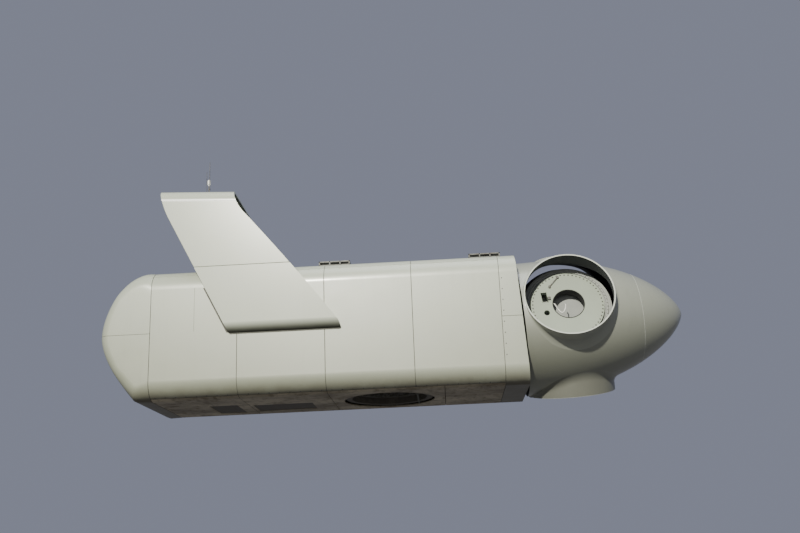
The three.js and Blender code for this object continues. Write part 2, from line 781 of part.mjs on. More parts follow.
// Outline in X and Z of a slanted slab of the radiator: `near` and `far` are offsets in X from its
// back, `from` and `to` are heights in millimetres.
function slantedSlab(near, far, from, to) {
  const { footX, headX } = RADIATOR;
  const top = COOLER_TOP_Z - COOLER_WALL - GAP;
  const base = ROOF_Z + BEAM + 2 * GAP;
  const back = (z) => footX + (headX - footX) * (z - base) / (top - base);
  return new THREE.Shape([
    new THREE.Vector2(back(from) + near, from),
    new THREE.Vector2(back(from) + far, from),
    new THREE.Vector2(back(to) + far, to),
    new THREE.Vector2(back(to) + near, to),
  ]);
}

// A core set back between two posts and three rails, on both faces.
function radiators() {
  const { count, width, depth } = RADIATOR;
  const { recess, bar, rails } = RADIATOR_FRAME;
  const top = COOLER_TOP_Z - COOLER_WALL - GAP;
  const base = ROOF_Z + BEAM + 2 * GAP;
  const heights = rails.map((share) => base + share * (top - base));
  return Array.from({ length: count }, (_, i) => {
    const low = (i - count / 2) * width + GAP;
    const high = low + width - GAP;
    let solid = toSolid(acrossY(slantedSlab(0, depth, base, top), low, high));
    for (let row = 1; row < heights.length; row += 1) {
      const foot = heights[row - 1] + bar / 2;
      const head = heights[row] - bar / 2;
      for (const [near, far] of [[-1, recess], [depth - recess, depth + 1]]) {
        const pocket = acrossY(slantedSlab(near, far, foot, head), low + bar, high - bar);
        solid = solid.subtract(toSolid(pocket));
      }
    }
    return named(`radiator_${i + 1}`, toGeometry(solid), coreMetal());
  });
}

// Roof fittings

function liftingFrame(name, x, side) {
  const { length, width, height, bar, end, y } = LIFTING_FRAME;
  const low = ROOF_Z + GAP;
  const frame = toSolid(boxBetween(
    [x - length / 2, side * y - width / 2, low],
    [x + length / 2, side * y + width / 2, low + height],
  ));
  const slot = toSolid(boxBetween(
    [x - length / 2 + end, -2000, low + bar],
    [x + length / 2 - end, 2000, low + height - bar],
  ));
  return named(name, toGeometry(frame.subtract(slot)), steelPaint());
}

function liftingFrames() {
  const places = LIFTING_FRAME_X.flatMap((x) => [[x, -1], [x, 1]]);
  return places.map(([x, side], i) => liftingFrame(`lifting_frame_${i + 1}`, x, side));
}

function masts() {
  const all = [['wind_sensor', WIND_SENSOR], ['lightning_rod', LIGHTNING_ROD], ['thin_rod', THIN_ROD]];
  return all.map(([name, { x, y, radius, height }]) => {
    const low = coolerTopAt(x - radius) + GAP;
    const geometry = post(radius, low, COOLER_TOP_Z + height, 12);
    return named(name, geometry.translate(x, y, 0), steelPaint());
  });
}

const nacelle = new THREE.Group();
nacelle.add(yawRing(), ...girders(), bedplate(), mainBearing());
nacelle.add(...wallPanels(), ...roofPanels(), ...floorPanels(), ...floorHatches());
nacelle.add(...rearCap(), ...frontRing(), frontBulkhead());
nacelle.add(...coolerSide(-1, 'right'), ...coolerSide(1, 'left'), coolerTop());
nacelle.add(...coolerBeams(), ...radiators(), ...liftingFrames(), ...masts());
nacelle.add(rotorGroup());

export default nacelle;
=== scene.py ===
"""Looks of a wind turbine nacelle: finishes, fine surfaces, fasteners, and a plain studio."""

import logging
import math
from collections.abc import Callable, Iterable, Sequence
from dataclasses import dataclass, field
from enum import Enum

import bpy
from mathutils import Matrix, Vector


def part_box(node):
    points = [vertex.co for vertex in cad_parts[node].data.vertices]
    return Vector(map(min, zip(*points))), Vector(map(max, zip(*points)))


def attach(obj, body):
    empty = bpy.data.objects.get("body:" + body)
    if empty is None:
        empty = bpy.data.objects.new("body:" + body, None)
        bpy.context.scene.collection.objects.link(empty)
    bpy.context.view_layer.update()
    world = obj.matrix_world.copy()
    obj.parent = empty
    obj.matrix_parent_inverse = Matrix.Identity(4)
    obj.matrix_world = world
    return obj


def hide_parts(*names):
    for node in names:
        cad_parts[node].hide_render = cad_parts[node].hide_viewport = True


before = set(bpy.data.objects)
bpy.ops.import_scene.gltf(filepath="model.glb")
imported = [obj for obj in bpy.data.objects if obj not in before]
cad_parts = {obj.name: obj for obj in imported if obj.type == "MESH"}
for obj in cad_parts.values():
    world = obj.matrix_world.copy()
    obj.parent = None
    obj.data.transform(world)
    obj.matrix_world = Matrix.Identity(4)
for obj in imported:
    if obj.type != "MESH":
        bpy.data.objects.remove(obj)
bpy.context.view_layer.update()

log = logging.getLogger("nacelle")

Point = tuple[float, float, float]
Colour = tuple[float, float, float]
Test = Callable[[Vector], bool]

NEAR = 1e-4


class Body(Enum):
    """The moving bodies that pieces ride on."""

    TOWER = "tower_side"
    HOUSING = "nacelle"
    ROTOR = "rotor"
    BLADE_1 = "blade_root_1"
    BLADE_2 = "blade_root_2"
    BLADE_3 = "blade_root_3"


class Side(Enum):
    """The machine's sides, by the sign of Y."""

    RIGHT = -1
    LEFT = 1


# Shader building


class Tree:
    """A material's node tree, with short calls for the nodes that the finishes share."""

    def __init__(self, name: str) -> None:
        """Starts an empty material.

        Args:
            name: the material's name.
        """
        self.material = bpy.data.materials.new(name)
        self.material.use_nodes = True
        self.nodes = self.material.node_tree.nodes
        self.links = self.material.node_tree.links
        self.shader = self.nodes["Principled BSDF"]
        coordinates = self.nodes.new("ShaderNodeTexCoord")
        self.place = coordinates.outputs["Object"]

    def feed(self, socket: bpy.types.NodeSocket, value: object) -> None:
        """Links a socket to another, or sets its value."""
        if isinstance(value, bpy.types.NodeSocket):
            self.links.new(value, socket)
        elif isinstance(value, tuple) and len(value) == 3 and socket.type == "RGBA":
            socket.default_value = (*value, 1.0)
        else:
            socket.default_value = value

    def stretched(self, scale: Point, turn: Point = (0, 0, 0)) -> bpy.types.NodeSocket:
        """Object coordinates scaled and turned.

        Args:
            scale: factor on each axis.
            turn: rotation about each axis, in radians.

        Returns:
            The mapped coordinates.
        """
        node = self.nodes.new("ShaderNodeMapping")
        self.links.new(self.place, node.inputs["Vector"])
        node.inputs["Scale"].default_value = scale
        node.inputs["Rotation"].default_value = turn
        return node.outputs["Vector"]

    def noise(self, scale: float, detail: float = 4, rough: float = 0.55,
              at: bpy.types.NodeSocket | None = None) -> bpy.types.NodeSocket:
        """A noise field.

        Args:
            scale: spots in a metre.
            detail: octaves.
            rough: weight of the finer octaves.
            at: coordinates, or None for Object coordinates.

        Returns:
            The field, about 0 to 1.
        """
        node = self.nodes.new("ShaderNodeTexNoise")
        self.links.new(at or self.place, node.inputs["Vector"])
        node.inputs["Scale"].default_value = scale
        node.inputs["Detail"].default_value = detail
        node.inputs["Roughness"].default_value = rough
        return node.outputs["Fac"]

    def ramp(self, value: object, low: float, high: float,
             out: tuple[float, float] = (0, 1)) -> bpy.types.NodeSocket:
        """Maps a range smoothly onto another and clamps it."""
        node = self.nodes.new("ShaderNodeMapRange")
        node.interpolation_type = "SMOOTHSTEP"
        self.feed(node.inputs["Value"], value)
        node.inputs["From Min"].default_value = low
        node.inputs["From Max"].default_value = high
        node.inputs["To Min"].default_value = out[0]
        node.inputs["To Max"].default_value = out[1]
        return node.outputs["Result"]

    def maths(self, kind: str, first: object, second: object = 0.0) -> bpy.types.NodeSocket:
        """A Math node of a kind, on two values."""
        node = self.nodes.new("ShaderNodeMath")
        node.operation = kind
        self.feed(node.inputs[0], first)
        self.feed(node.inputs[1], second)
        return node.outputs[0]

    def blend(self, factor: object, first: object, second: object) -> bpy.types.NodeSocket:
        """Mixes two colours by a factor."""
        node = self.nodes.new("ShaderNodeMix")
        node.data_type = "RGBA"
        self.feed(node.inputs[0], factor)
        self.feed(node.inputs[6], first)
        self.feed(node.inputs[7], second)
        return node.outputs[2]

    def axis(self, letter: str) -> bpy.types.NodeSocket:
        """One Object coordinate."""
        node = self.nodes.new("ShaderNodeSeparateXYZ")
        self.links.new(self.place, node.inputs[0])
        return node.outputs[letter]

    def edge_wear(self, low: float = 0.5, high: float = 0.56) -> bpy.types.NodeSocket:
        """How sharp an outer edge is, from the surface's pointiness."""
        geometry = self.nodes.new("ShaderNodeNewGeometry")
        return self.ramp(geometry.outputs["Pointiness"], low, high)

    def bump(self, height: object, depth: float, strength: float = 0.6) -> None:
        """Bumps the surface.

        Args:
            height: the height field.
            depth: its depth, in metres.
            strength: how much of it shows.
        """
        node = self.nodes.new("ShaderNodeBump")
        node.inputs["Strength"].default_value = strength
        node.inputs["Distance"].default_value = depth
        self.feed(node.inputs["Height"], height)
        self.links.new(node.outputs["Normal"], self.shader.inputs["Normal"])

    def finish(self, colour: object, roughness: object, metallic: float = 0.0,
               coat: object = 0.0, coat_roughness: float = 0.25) -> bpy.types.Material:
        """Sets the surface and hands over the material.

        Args:
            colour: base colour, or a socket of it.
            roughness: roughness, or a socket of it.
            metallic: 0 to 1.
            coat: weight of a clear coat, or a socket of it.
            coat_roughness: the coat's roughness.

        Returns:
            The material.
        """
        self.feed(self.shader.inputs["Base Color"], colour)
        self.feed(self.shader.inputs["Roughness"], roughness)
        self.shader.inputs["Metallic"].default_value = metallic
        self.feed(self.shader.inputs["Coat Weight"], coat)
        self.shader.inputs["Coat Roughness"].default_value = coat_roughness
        return self.material


# Finishes


@dataclass(frozen=True)
class Gelcoat:
    """Weathered gelcoat on glass fibre: chalky, faintly mottled and streaked, and darker low down and on its
    underside.

    The low darkening is dirt on the housing and painted shade on the collars and on the cooler's lip; the
    underside's is dirt and painted shade. It is painted paler towards the top as painted light, which leaves
    the spinner's underside as painted shade, and it is darker towards the rear. A thin pale band can paint a
    highlight along a bend.
    """

    name: str
    colour: Colour
    # The colour of the low darkening and of the underside: dirt on the housing, painted shade on the collars
    # and on the cooler's lip.
    dirt_and_shade: Colour
    darken_from: float = 0.35
    darken_to: float = -0.02
    darken_amount: float = 0.85
    # Painted light: the colour towards the top, paler than the base colour.
    painted_light_top: Colour | None = None
    painted_light_from: float = 0.2
    painted_light_to: float = 3.2
    # How much darker the rear is.
    rear_darkening: float = 0.0
    # How much the underside darkens, with dirt and painted shade.
    underside_dirt_and_shade: float = 0.0
    patchiness: float = 0.4
    # Level and slope of a pale band that paints a highlight along a bend.
    painted_highlight_band: tuple[float, float] | None = None
    specular: float = 1.0
    roughness: float = 0.37
    coat: float = 0.6
    coat_roughness: float = 0.17
    coat_ior: float = 1.5

    def shades(self, share: float) -> Colour:
        """The paint's colour times a share, and less blue the darker it is."""
        return tuple(c * (share if i < 2 else share ** 1.4) for i, c in enumerate(self.colour))

    def material(self) -> bpy.types.Material:
        """Makes the gelcoat's material."""
        tree = Tree(self.name)
        clouds = tree.noise(0.45, 3)
        mottle = tree.noise(3.2, 5)
        streaks = tree.noise(5.5, 5, 0.6, tree.stretched((1.0, 1.0, 0.07)))
        # Painted light: paler towards the top, so the lower parts read as painted shade.
        painted_light_share = tree.ramp(tree.axis("Z"), self.painted_light_from, self.painted_light_to)
        colour = tree.blend(painted_light_share, self.colour, self.painted_light_top or self.colour)
        # Darker towards the rear.
        rear = tree.maths("MULTIPLY", tree.ramp(tree.axis("X"), 0.5, -4.5), self.rear_darkening)
        runs = tree.maths("MULTIPLY", tree.ramp(streaks, 0.52, 0.78), 0.07)
        spots = tree.maths("MULTIPLY", tree.ramp(mottle, 0.58, 0.75), 0.03)
        for amount in (rear, tree.ramp(clouds, 0.36, 0.66, (0.06, 0.0)), runs, spots):
            colour = tree.blend(amount, colour, self.shades(0.5))
        # Darker low down: dirt on the housing, painted shade on the collars and on the cooler's lip.
        low = tree.ramp(tree.axis("Z"), self.darken_from, self.darken_to)
        patchy = tree.ramp(tree.noise(1.7, 6, 0.62), 0.25, 0.62, (1 - self.patchiness, 1))
        low_dirt_and_shade = tree.maths("MULTIPLY", tree.maths("MULTIPLY", low, patchy), self.darken_amount)
        colour = tree.blend(low_dirt_and_shade, colour, self.dirt_and_shade)
        # The underside darkens: dirt plus painted shade.
        underside_dirt_and_shade = tree.ramp(tree.axis("Z"), 0.04, -0.04, (0.0, self.underside_dirt_and_shade))
        colour = tree.blend(underside_dirt_and_shade, colour, self.dirt_and_shade)
        # Painted highlight: a thin pale band along the cooler's top bend.
        if self.painted_highlight_band:
            level, rise = self.painted_highlight_band
            height = tree.maths("ADD", tree.axis("Z"), tree.maths("MULTIPLY", tree.axis("X"), rise))
            above = tree.ramp(height, level - 0.03, level)
            below = tree.ramp(height, level + 0.06, level + 0.03)
            colour = tree.blend(tree.maths("MULTIPLY", above, below), colour, (0.95, 0.96, 0.93))
        rough = tree.ramp(mottle, 0.3, 0.7, (self.roughness - 0.02, self.roughness + 0.02))
        tree.bump(tree.noise(38, 3), 0.0016, 0.3)
        # Where it is darkened, it loses its specular and coat.
        undarkened = tree.maths("SUBTRACT", 1.0, tree.maths("MAXIMUM", low_dirt_and_shade, underside_dirt_and_shade))
        tree.feed(tree.shader.inputs["Specular IOR Level"], tree.maths("MULTIPLY", undarkened, self.specular))
        tree.shader.inputs["Coat IOR"].default_value = self.coat_ior
        coat = tree.maths("MULTIPLY", undarkened, self.coat)
        return tree.finish(colour, rough, coat=coat, coat_roughness=self.coat_roughness)


@dataclass(frozen=True)
class Soiled:
    """Gelcoat seen from below: oily, brown-grey and blotched."""

    name: str
    colour: Colour
    stain: Colour
    amount: float = 0.85

    def material(self) -> bpy.types.Material:
        """Makes the soiled surface's material."""
        tree = Tree(self.name)
        broad = tree.ramp(tree.noise(0.8, 5, 0.6, tree.stretched((0.55, 1.0, 1.0))), 0.38, 0.66)
        fine = tree.ramp(tree.noise(6.0, 6, 0.65), 0.45, 0.72)
        drips = tree.ramp(tree.noise(2.6, 4, 0.6, tree.stretched((1.0, 0.22, 1.0))), 0.5, 0.74)
        amount = tree.maths("MULTIPLY", tree.maths("MAXIMUM", broad, drips), self.amount)
        colour = tree.blend(amount, self.colour, self.stain)
        dark = tuple(c * 0.55 for c in self.stain)
        colour = tree.blend(tree.maths("MULTIPLY", fine, 0.5), colour, dark)
        tree.bump(tree.noise(24, 4), 0.004, 0.4)
        return tree.finish(colour, tree.ramp(fine, 0.0, 1.0, (0.5, 0.72)))


@dataclass(frozen=True)
class Paint:
    """Brushed or sprayed paint on steel or iron, scuffed to primer along its edges."""

    name: str
    colour: Colour
    worn: Colour
    roughness: float = 0.5
    grain: float = 60.0
    depth: float = 0.0015

    def material(self) -> bpy.types.Material:
        """Makes the paint's material."""
        tree = Tree(self.name)
        patches = tree.noise(2.4, 5)
        grain = tree.noise(self.grain, 4)
        darker = tuple(c * 0.82 for c in self.colour)
        colour = tree.blend(tree.ramp(patches, 0.35, 0.68), darker, self.colour)
        scuffs = tree.maths("MULTIPLY", tree.edge_wear(), tree.ramp(tree.noise(14, 4), 0.4, 0.6))
        colour = tree.blend(scuffs, colour, self.worn)
        tree.bump(grain, self.depth, 0.5)
        rough = tree.ramp(patches, 0.3, 0.7, (self.roughness - 0.08, self.roughness + 0.1))
        return tree.finish(colour, rough)


@dataclass(frozen=True)
class Metal:
    """Bare or oiled steel with turning marks."""

    name: str
    colour: Colour
    roughness: float = 0.38
    metallic: float = 0.85

    def material(self) -> bpy.types.Material:
        """Makes the metal's material."""
        tree = Tree(self.name)
        marks = tree.noise(120, 3, 0.6)
        grease = tree.ramp(tree.noise(4.5, 5, 0.6), 0.42, 0.68)
        dark = tuple(c * 0.45 for c in self.colour)
        colour = tree.blend(grease, self.colour, dark)
        rough = tree.ramp(marks, 0.25, 0.75, (self.roughness - 0.1, self.roughness + 0.16))
        tree.bump(marks, 0.0008, 0.35)
        return tree.finish(colour, rough, self.metallic)


@dataclass(frozen=True)
class Matt:
    """A soft matt material: sealant, rubber, dark primer or moulded cover."""

    name: str
    colour: Colour
    roughness: float = 0.75
    scale: float = 18.0
    mottle: float = 1.35

    def material(self) -> bpy.types.Material:
        """Makes the matt material."""
        tree = Tree(self.name)
        patches = tree.noise(self.scale, 5)
        pale = tuple(min(1.0, c * self.mottle + 0.01) for c in self.colour)
        colour = tree.blend(tree.ramp(patches, 0.4, 0.75), self.colour, pale)
        tree.bump(tree.noise(self.scale * 6, 3), 0.001, 0.4)
        rough = tree.ramp(patches, 0.3, 0.7, (self.roughness - 0.08, self.roughness + 0.08))
        return tree.finish(colour, rough)


@dataclass
class Palette:
    """Every finish of the machine, made once."""

    shell: bpy.types.Material = field(init=False)
    spinner: bpy.types.Material = field(init=False)
    collar: bpy.types.Material = field(init=False)
    rim: bpy.types.Material = field(init=False)
    cooler: bpy.types.Material = field(init=False)
    belly_stains_and_painted_bounce: bpy.types.Material = field(init=False)
    raw_glass: bpy.types.Material = field(init=False)
    dark_inside: bpy.types.Material = field(init=False)
    seal: bpy.types.Material = field(init=False)
    pale_seal: bpy.types.Material = field(init=False)
    nose_seal: bpy.types.Material = field(init=False)
    steel_paint: bpy.types.Material = field(init=False)
    cast: bpy.types.Material = field(init=False)
    hub_paint: bpy.types.Material = field(init=False)
    bearing: bpy.types.Material = field(init=False)
    ring_paint: bpy.types.Material = field(init=False)
    plate_bolt: bpy.types.Material = field(init=False)
    bolt: bpy.types.Material = field(init=False)
    plate: bpy.types.Material = field(init=False)
    hatch: bpy.types.Material = field(init=False)
    core: bpy.types.Material = field(init=False)
    rubber_and_shade: bpy.types.Material = field(init=False)
    ground: bpy.types.Material = field(init=False)

    def __post_init__(self) -> None:
        """Makes the materials."""
        low_dirt_and_shade = (0.12, 0.105, 0.075)
        # The shell's paler top is painted light; its underside darkens with dirt and painted shade, and its
        # rear is darker.
        self.shell = Gelcoat(
            "shell_gelcoat", (0.36, 0.38, 0.30), low_dirt_and_shade, darken_amount=0.65, painted_light_top=(0.49, 0.525, 0.44),
            rear_darkening=0.16, underside_dirt_and_shade=0.8, specular=0.85, coat=0.3,
        ).material()
        # The spinner is painted paler at the top and darker underneath, as painted light and painted shade.
        self.spinner = Gelcoat(
            "spinner_gelcoat", (0.215, 0.225, 0.18), low_dirt_and_shade, darken_from=-0.35, darken_to=-0.85, darken_amount=0.4,
            painted_light_top=(0.335, 0.35, 0.295), painted_light_from=0.3, painted_light_to=2.1,
        ).material()
        # The collars' darkening low down is painted shade.
        self.collar = Gelcoat(
            "collar_gelcoat", (0.30, 0.315, 0.26), (0.14, 0.14, 0.12), darken_from=0.5, darken_to=0.05,
            darken_amount=0.75, patchiness=0.15,
        ).material()
        # The cooler's darkening at the lip's foot is painted shade, and the pale band along its top bend is a
        # painted highlight.
        self.cooler = Gelcoat(
            "cooler_gelcoat", (0.475, 0.505, 0.42), (0.04, 0.04, 0.034), darken_from=1.73, darken_to=1.49,
            darken_amount=0.95, patchiness=0.05, painted_highlight_band=(4.6747, 0.048), specular=0.05, coat=0.7,
            coat_roughness=0.24, coat_ior=1.7,
        ).material()
        # The underside's stains are its own; its brighter, warmer base stands in for light bounced up from
        # the ground.
        self.belly_stains_and_painted_bounce = Soiled("belly_gelcoat", (0.50, 0.44, 0.32), (0.17, 0.135, 0.085)).material()
        self.raw_glass = Matt("raw_glass_fibre", (0.42, 0.40, 0.31), 0.7, 9.0).material()
        self.dark_inside = Matt("dark_inside_coat", (0.022, 0.026, 0.038), 0.6, 6.0).material()
        # Dark seam sealant; the cooler's dark strips use it to paint shadow.
        self.seal = Matt("seam_sealant", (0.10, 0.10, 0.085), 0.8, 30.0).material()
        self.pale_seal = Matt("pale_sealant", (0.74, 0.74, 0.70), 0.55, 30.0).material()
        self.rim = Matt("collar_rim", (0.55, 0.575, 0.52), 0.5, 3.0, 1.04).material()
        self.nose_seal = Matt("nose_sealant", (0.40, 0.42, 0.38), 0.6, 8.0).material()
        self.steel_paint = Paint("grey_steel_paint", (0.17, 0.175, 0.165), (0.1, 0.09, 0.08)).material()
        self.cast = Paint(
            "cast_iron_paint", (0.22, 0.215, 0.19), (0.12, 0.11, 0.09), 0.6, grain=90.0, depth=0.003,
        ).material()
        self.hub_paint = Paint(
            "hub_paint", (0.33, 0.345, 0.325), (0.22, 0.21, 0.19), 0.55, grain=70.0, depth=0.003,
        ).material()
        self.bearing = Metal("bearing_steel", (0.10, 0.115, 0.15), 0.42, 0.7).material()
        self.ring_paint = Matt("ring_paint", (0.33, 0.345, 0.32), 0.5, 5.0, 1.05).material()
        self.plate_bolt = Matt("plate_bolt_paint", (0.13, 0.13, 0.115), 0.5, 20.0).material()
        self.bolt = Metal("bolt_steel", (0.09, 0.09, 0.095), 0.45, 0.6).material()
        self.plate = Matt("plate_paint", (0.345, 0.39, 0.315), 0.5, 2.2, 1.04).material()
        self.hatch = Matt("hatch_panel", (0.1, 0.09, 0.073), 0.65, 5.0).material()
        self.core = Metal("cooler_fins", (0.16, 0.17, 0.18), 0.5, 0.6).material()
        # Dark rubber for the manhole rim, which also paints the shade inside the manhole.
        self.rubber_and_shade = Matt("rubber_and_shade", (0.02, 0.02, 0.02), 0.7, 40.0).material()
        self.ground = Matt("pale_floor", (0.72, 0.67, 0.54), 0.85, 1.4, 1.05).material()


# Modelling


def apply_place(piece: bpy.types.Object) -> None:
    """Puts the object's place into its mesh, so that it stands at the origin."""
    bpy.ops.object.select_all(action="DESELECT")
    piece.select_set(True)
    bpy.context.view_layer.objects.active = piece
    bpy.ops.object.transform_apply(location=True, rotation=True, scale=True)


def new_name(piece: bpy.types.Object, name: str) -> bpy.types.Object:
    """Names the object and its mesh, and returns the object."""
    piece.name = name
    piece.data.name = name
    return piece


def cube(name: str, low: Sequence[float], high: Sequence[float]) -> bpy.types.Object:
    """A box between two corners.

    Args:
        name: the piece's name.
        low: lowest corner.
        high: highest corner.

    Returns:
        The box, at the origin.
    """
    bpy.ops.object.select_all(action="DESELECT")
    centre = [(a + b) / 2 for a, b in zip(low, high)]
    bpy.ops.mesh.primitive_cube_add(size=1, location=centre)
    piece = bpy.context.active_object
    piece.scale = [b - a for a, b in zip(low, high)]
    apply_place(piece)
    return new_name(piece, name)


def drum(name: str, radius: float, low: float, high: float, steps: int,
         matrix: Matrix | None = None) -> bpy.types.Object:
    """An upright cylinder between two heights.

    Args:
        name: the piece's name.
        radius: its radius.
        low: its lower end.
        high: its upper end.
        steps: sides.
        matrix: where it is moved to.

    Returns:
        The cylinder.
    """
    bpy.ops.object.select_all(action="DESELECT")
    bpy.ops.mesh.primitive_cylinder_add(
        vertices=steps, radius=radius, depth=high - low, location=(0, 0, (low + high) / 2),
    )
    piece = bpy.context.active_object
    apply_place(piece)
    if matrix is not None:
        moved(piece, matrix)
    return new_name(piece, name)


def moved(piece: bpy.types.Object, matrix: Matrix) -> bpy.types.Object:
    """Moves a piece's mesh by a matrix and returns the piece."""
    piece.matrix_world = matrix
    bpy.context.view_layer.update()
    apply_place(piece)
    return piece


def edit(piece: bpy.types.Object, kind: str, chosen: Test) -> None:
    """Opens a piece in edit mode with the chosen elements selected.

    Args:
        piece: the piece.
        kind: VERT, EDGE or FACE.
        chosen: says for a vertex's place, an edge's middle or a face's centre if it's selected.
    """
    bpy.ops.object.select_all(action="DESELECT")
    piece.select_set(True)
    bpy.context.view_layer.objects.active = piece
    bpy.ops.object.mode_set(mode="EDIT")
    bpy.ops.mesh.select_mode(type=kind)
    bpy.ops.mesh.select_all(action="DESELECT")
    bpy.ops.object.mode_set(mode="OBJECT")
    mesh = piece.data
    if kind == "VERT":
        for spot in mesh.vertices:
            spot.select = chosen(spot.co)
    elif kind == "EDGE":
        for line in mesh.edges:
            ends = [mesh.vertices[i].co for i in line.vertices]
            line.select = chosen((ends[0] + ends[1]) / 2)
    else:
        for face in mesh.polygons:
            face.select = chosen(face.center)
    bpy.ops.object.mode_set(mode="EDIT")


def edit_all(piece: bpy.types.Object) -> None:
    """Opens a piece in edit mode with everything selected."""
    bpy.ops.object.select_all(action="DESELECT")
    piece.select_set(True)
    bpy.context.view_layer.objects.active = piece
    bpy.ops.object.mode_set(mode="EDIT")
    bpy.ops.mesh.select_all(action="SELECT")


def leave() -> None:
    """Goes back to object mode."""
    bpy.ops.object.mode_set(mode="OBJECT")


def slice_off(piece: bpy.types.Object, at: Sequence[float], normal: Sequence[float],
              fill: bool = False) -> None:
    """Cuts away what lies on the normal's side of a plane.

    Args:
        piece: the piece.
        at: a point on the plane.
        normal: the plane's normal.
        fill: closes the cut.
    """
    edit_all(piece)
    bpy.ops.mesh.bisect(
        plane_co=at, plane_no=normal, use_fill=fill, clear_inner=False, clear_outer=True, threshold=1e-6,
    )
    leave()


def modify(piece: bpy.types.Object, kind: str, **settings: object) -> None:
    """Adds a modifier with its settings and applies it."""
    bpy.ops.object.select_all(action="DESELECT")
    piece.select_set(True)
    bpy.context.view_layer.objects.active = piece
    modifier = piece.modifiers.new(kind.lower(), kind)
    for key, value in settings.items():
        setattr(modifier, key, value)
    bpy.ops.object.modifier_apply(modifier=modifier.name)


def thicken(piece: bpy.types.Object, wall: float, inside: bool = False) -> None:
    """Gives a skin its wall, inwards. With inside, the inner face takes the second material."""
    if inside:
        piece.data.materials.append(None)
        piece.data.materials.append(None)
    modify(piece, "SOLIDIFY", thickness=wall, offset=-1.0, use_even_offset=True,
           material_offset=1 if inside else 0)


def ease(piece: bpy.types.Object, width: float, steps: int = 2, angle: float = 50.0) -> None:
    """Rounds a piece's sharp edges."""
    modify(piece, "BEVEL", width=width, segments=steps, limit_method="ANGLE",
           angle_limit=math.radians(angle), use_clamp_overlap=True)


def smooth(piece: bpy.types.Object, angle: float = 32.0) -> None:
    """Shades a piece smooth up to an angle, and keeps its large flat faces flat."""
    bpy.ops.object.select_all(action="DESELECT")
    piece.select_set(True)
    bpy.context.view_layer.objects.active = piece
    bpy.ops.object.shade_smooth_by_angle(angle=math.radians(angle))
    modify(piece, "WEIGHTED_NORMAL", keep_sharp=True)


def carve(piece: bpy.types.Object, tools: Iterable[bpy.types.Object], keep: bool = False) -> None:
    """Cuts tools out of a piece, or keeps only what lies in them, and removes the tools."""
    for tool in tools:
        modify(piece, "BOOLEAN", operation="INTERSECT" if keep else "DIFFERENCE", object=tool, solver="EXACT")
        bpy.data.objects.remove(tool, do_unlink=True)


def clean_normals(piece: bpy.types.Object) -> None:
    """Merges doubles and turns all faces outwards."""
    edit_all(piece)
    bpy.ops.mesh.remove_doubles(threshold=1e-5)
    bpy.ops.mesh.normals_make_consistent(inside=False)
    leave()


def twin(piece: bpy.types.Object, name: str, matrix: Matrix | None = None) -> bpy.types.Object:
    """A copy of a piece with its own mesh, moved by a matrix."""
    copy = piece.copy()
    copy.data = piece.data.copy()
    bpy.context.scene.collection.objects.link(copy)
    if matrix is not None:
        copy.data.transform(matrix)
        if matrix.determinant() < 0:
            copy.data.flip_normals()
    return new_name(copy, name)


def joined(name: str, parts: Sequence[bpy.types.Object]) -> bpy.types.Object:
    """Joins pieces into one."""
    bpy.ops.object.select_all(action="DESELECT")
    for part in parts:
        part.select_set(True)
    bpy.context.view_layer.objects.active = parts[0]
    bpy.ops.object.join()
    return new_name(parts[0], name)


def scattered(name: str, model: bpy.types.Object, places: Sequence[Matrix]) -> bpy.types.Object:
    """Copies a small piece to many places and joins the copies into one piece.

    Args:
        name: the joined piece's name.
        model: the piece that is repeated; it is used up.
        places: where each copy goes.

    Returns:
        The joined piece.
    """
    copies = [twin(model, f"{name}_{i}", place) for i, place in enumerate(places)]
    bpy.data.objects.remove(model, do_unlink=True)
    return joined(name, copies)


def formed_grid(name: str, rows: int, columns: int,
                place: Callable[[float, float], Sequence[float]]) -> bpy.types.Object:
    """A grid whose points are laid on a curved surface.

    Args:
        name: the piece's name.
        rows: steps along the first direction.
        columns: steps along the second.
        place: gives the point for both directions' parts, each 0 to 1.

    Returns:
        The skin, with doubles merged and faces outwards.
    """
    bpy.ops.object.select_all(action="DESELECT")
    bpy.ops.mesh.primitive_grid_add(x_subdivisions=rows, y_subdivisions=columns, size=2)
    piece = bpy.context.active_object
    for spot in piece.data.vertices:
        spot.co = Vector(place((spot.co.x + 1) / 2, (spot.co.y + 1) / 2))
    clean_normals(piece)
    return new_name(piece, name)


def spun(name: str, profile: Sequence[tuple[float, float]], steps: int,
         closed: bool = False) -> bpy.types.Object:
    """A skin turned about the X axis.

    Args:
        name: the piece's name.
        profile: points of x and radius.
        steps: steps round the axis.
        closed: joins the profile's last point to its first.

    Returns:
        The turned skin.
    """
    bpy.ops.object.select_all(action="DESELECT")
    bpy.ops.mesh.primitive_circle_add(vertices=len(profile), radius=1, fill_type="NOTHING")
    piece = bpy.context.active_object
    for spot, (x, radius) in zip(piece.data.vertices, profile):
        spot.co = (x, 0, radius)
    if not closed:
        last = len(profile) - 1
        middle = (piece.data.vertices[0].co + piece.data.vertices[last].co) / 2
        edit(piece, "EDGE", lambda spot: (spot - middle).length < 1e-7)
        bpy.ops.mesh.delete(type="EDGE")
        leave()
    edit_all(piece)
    bpy.ops.mesh.spin(steps=steps, angle=2 * math.pi, center=(0, 0, 0), axis=(1, 0, 0), use_auto_merge=True)
    leave()
    clean_normals(piece)
    return new_name(piece, name)


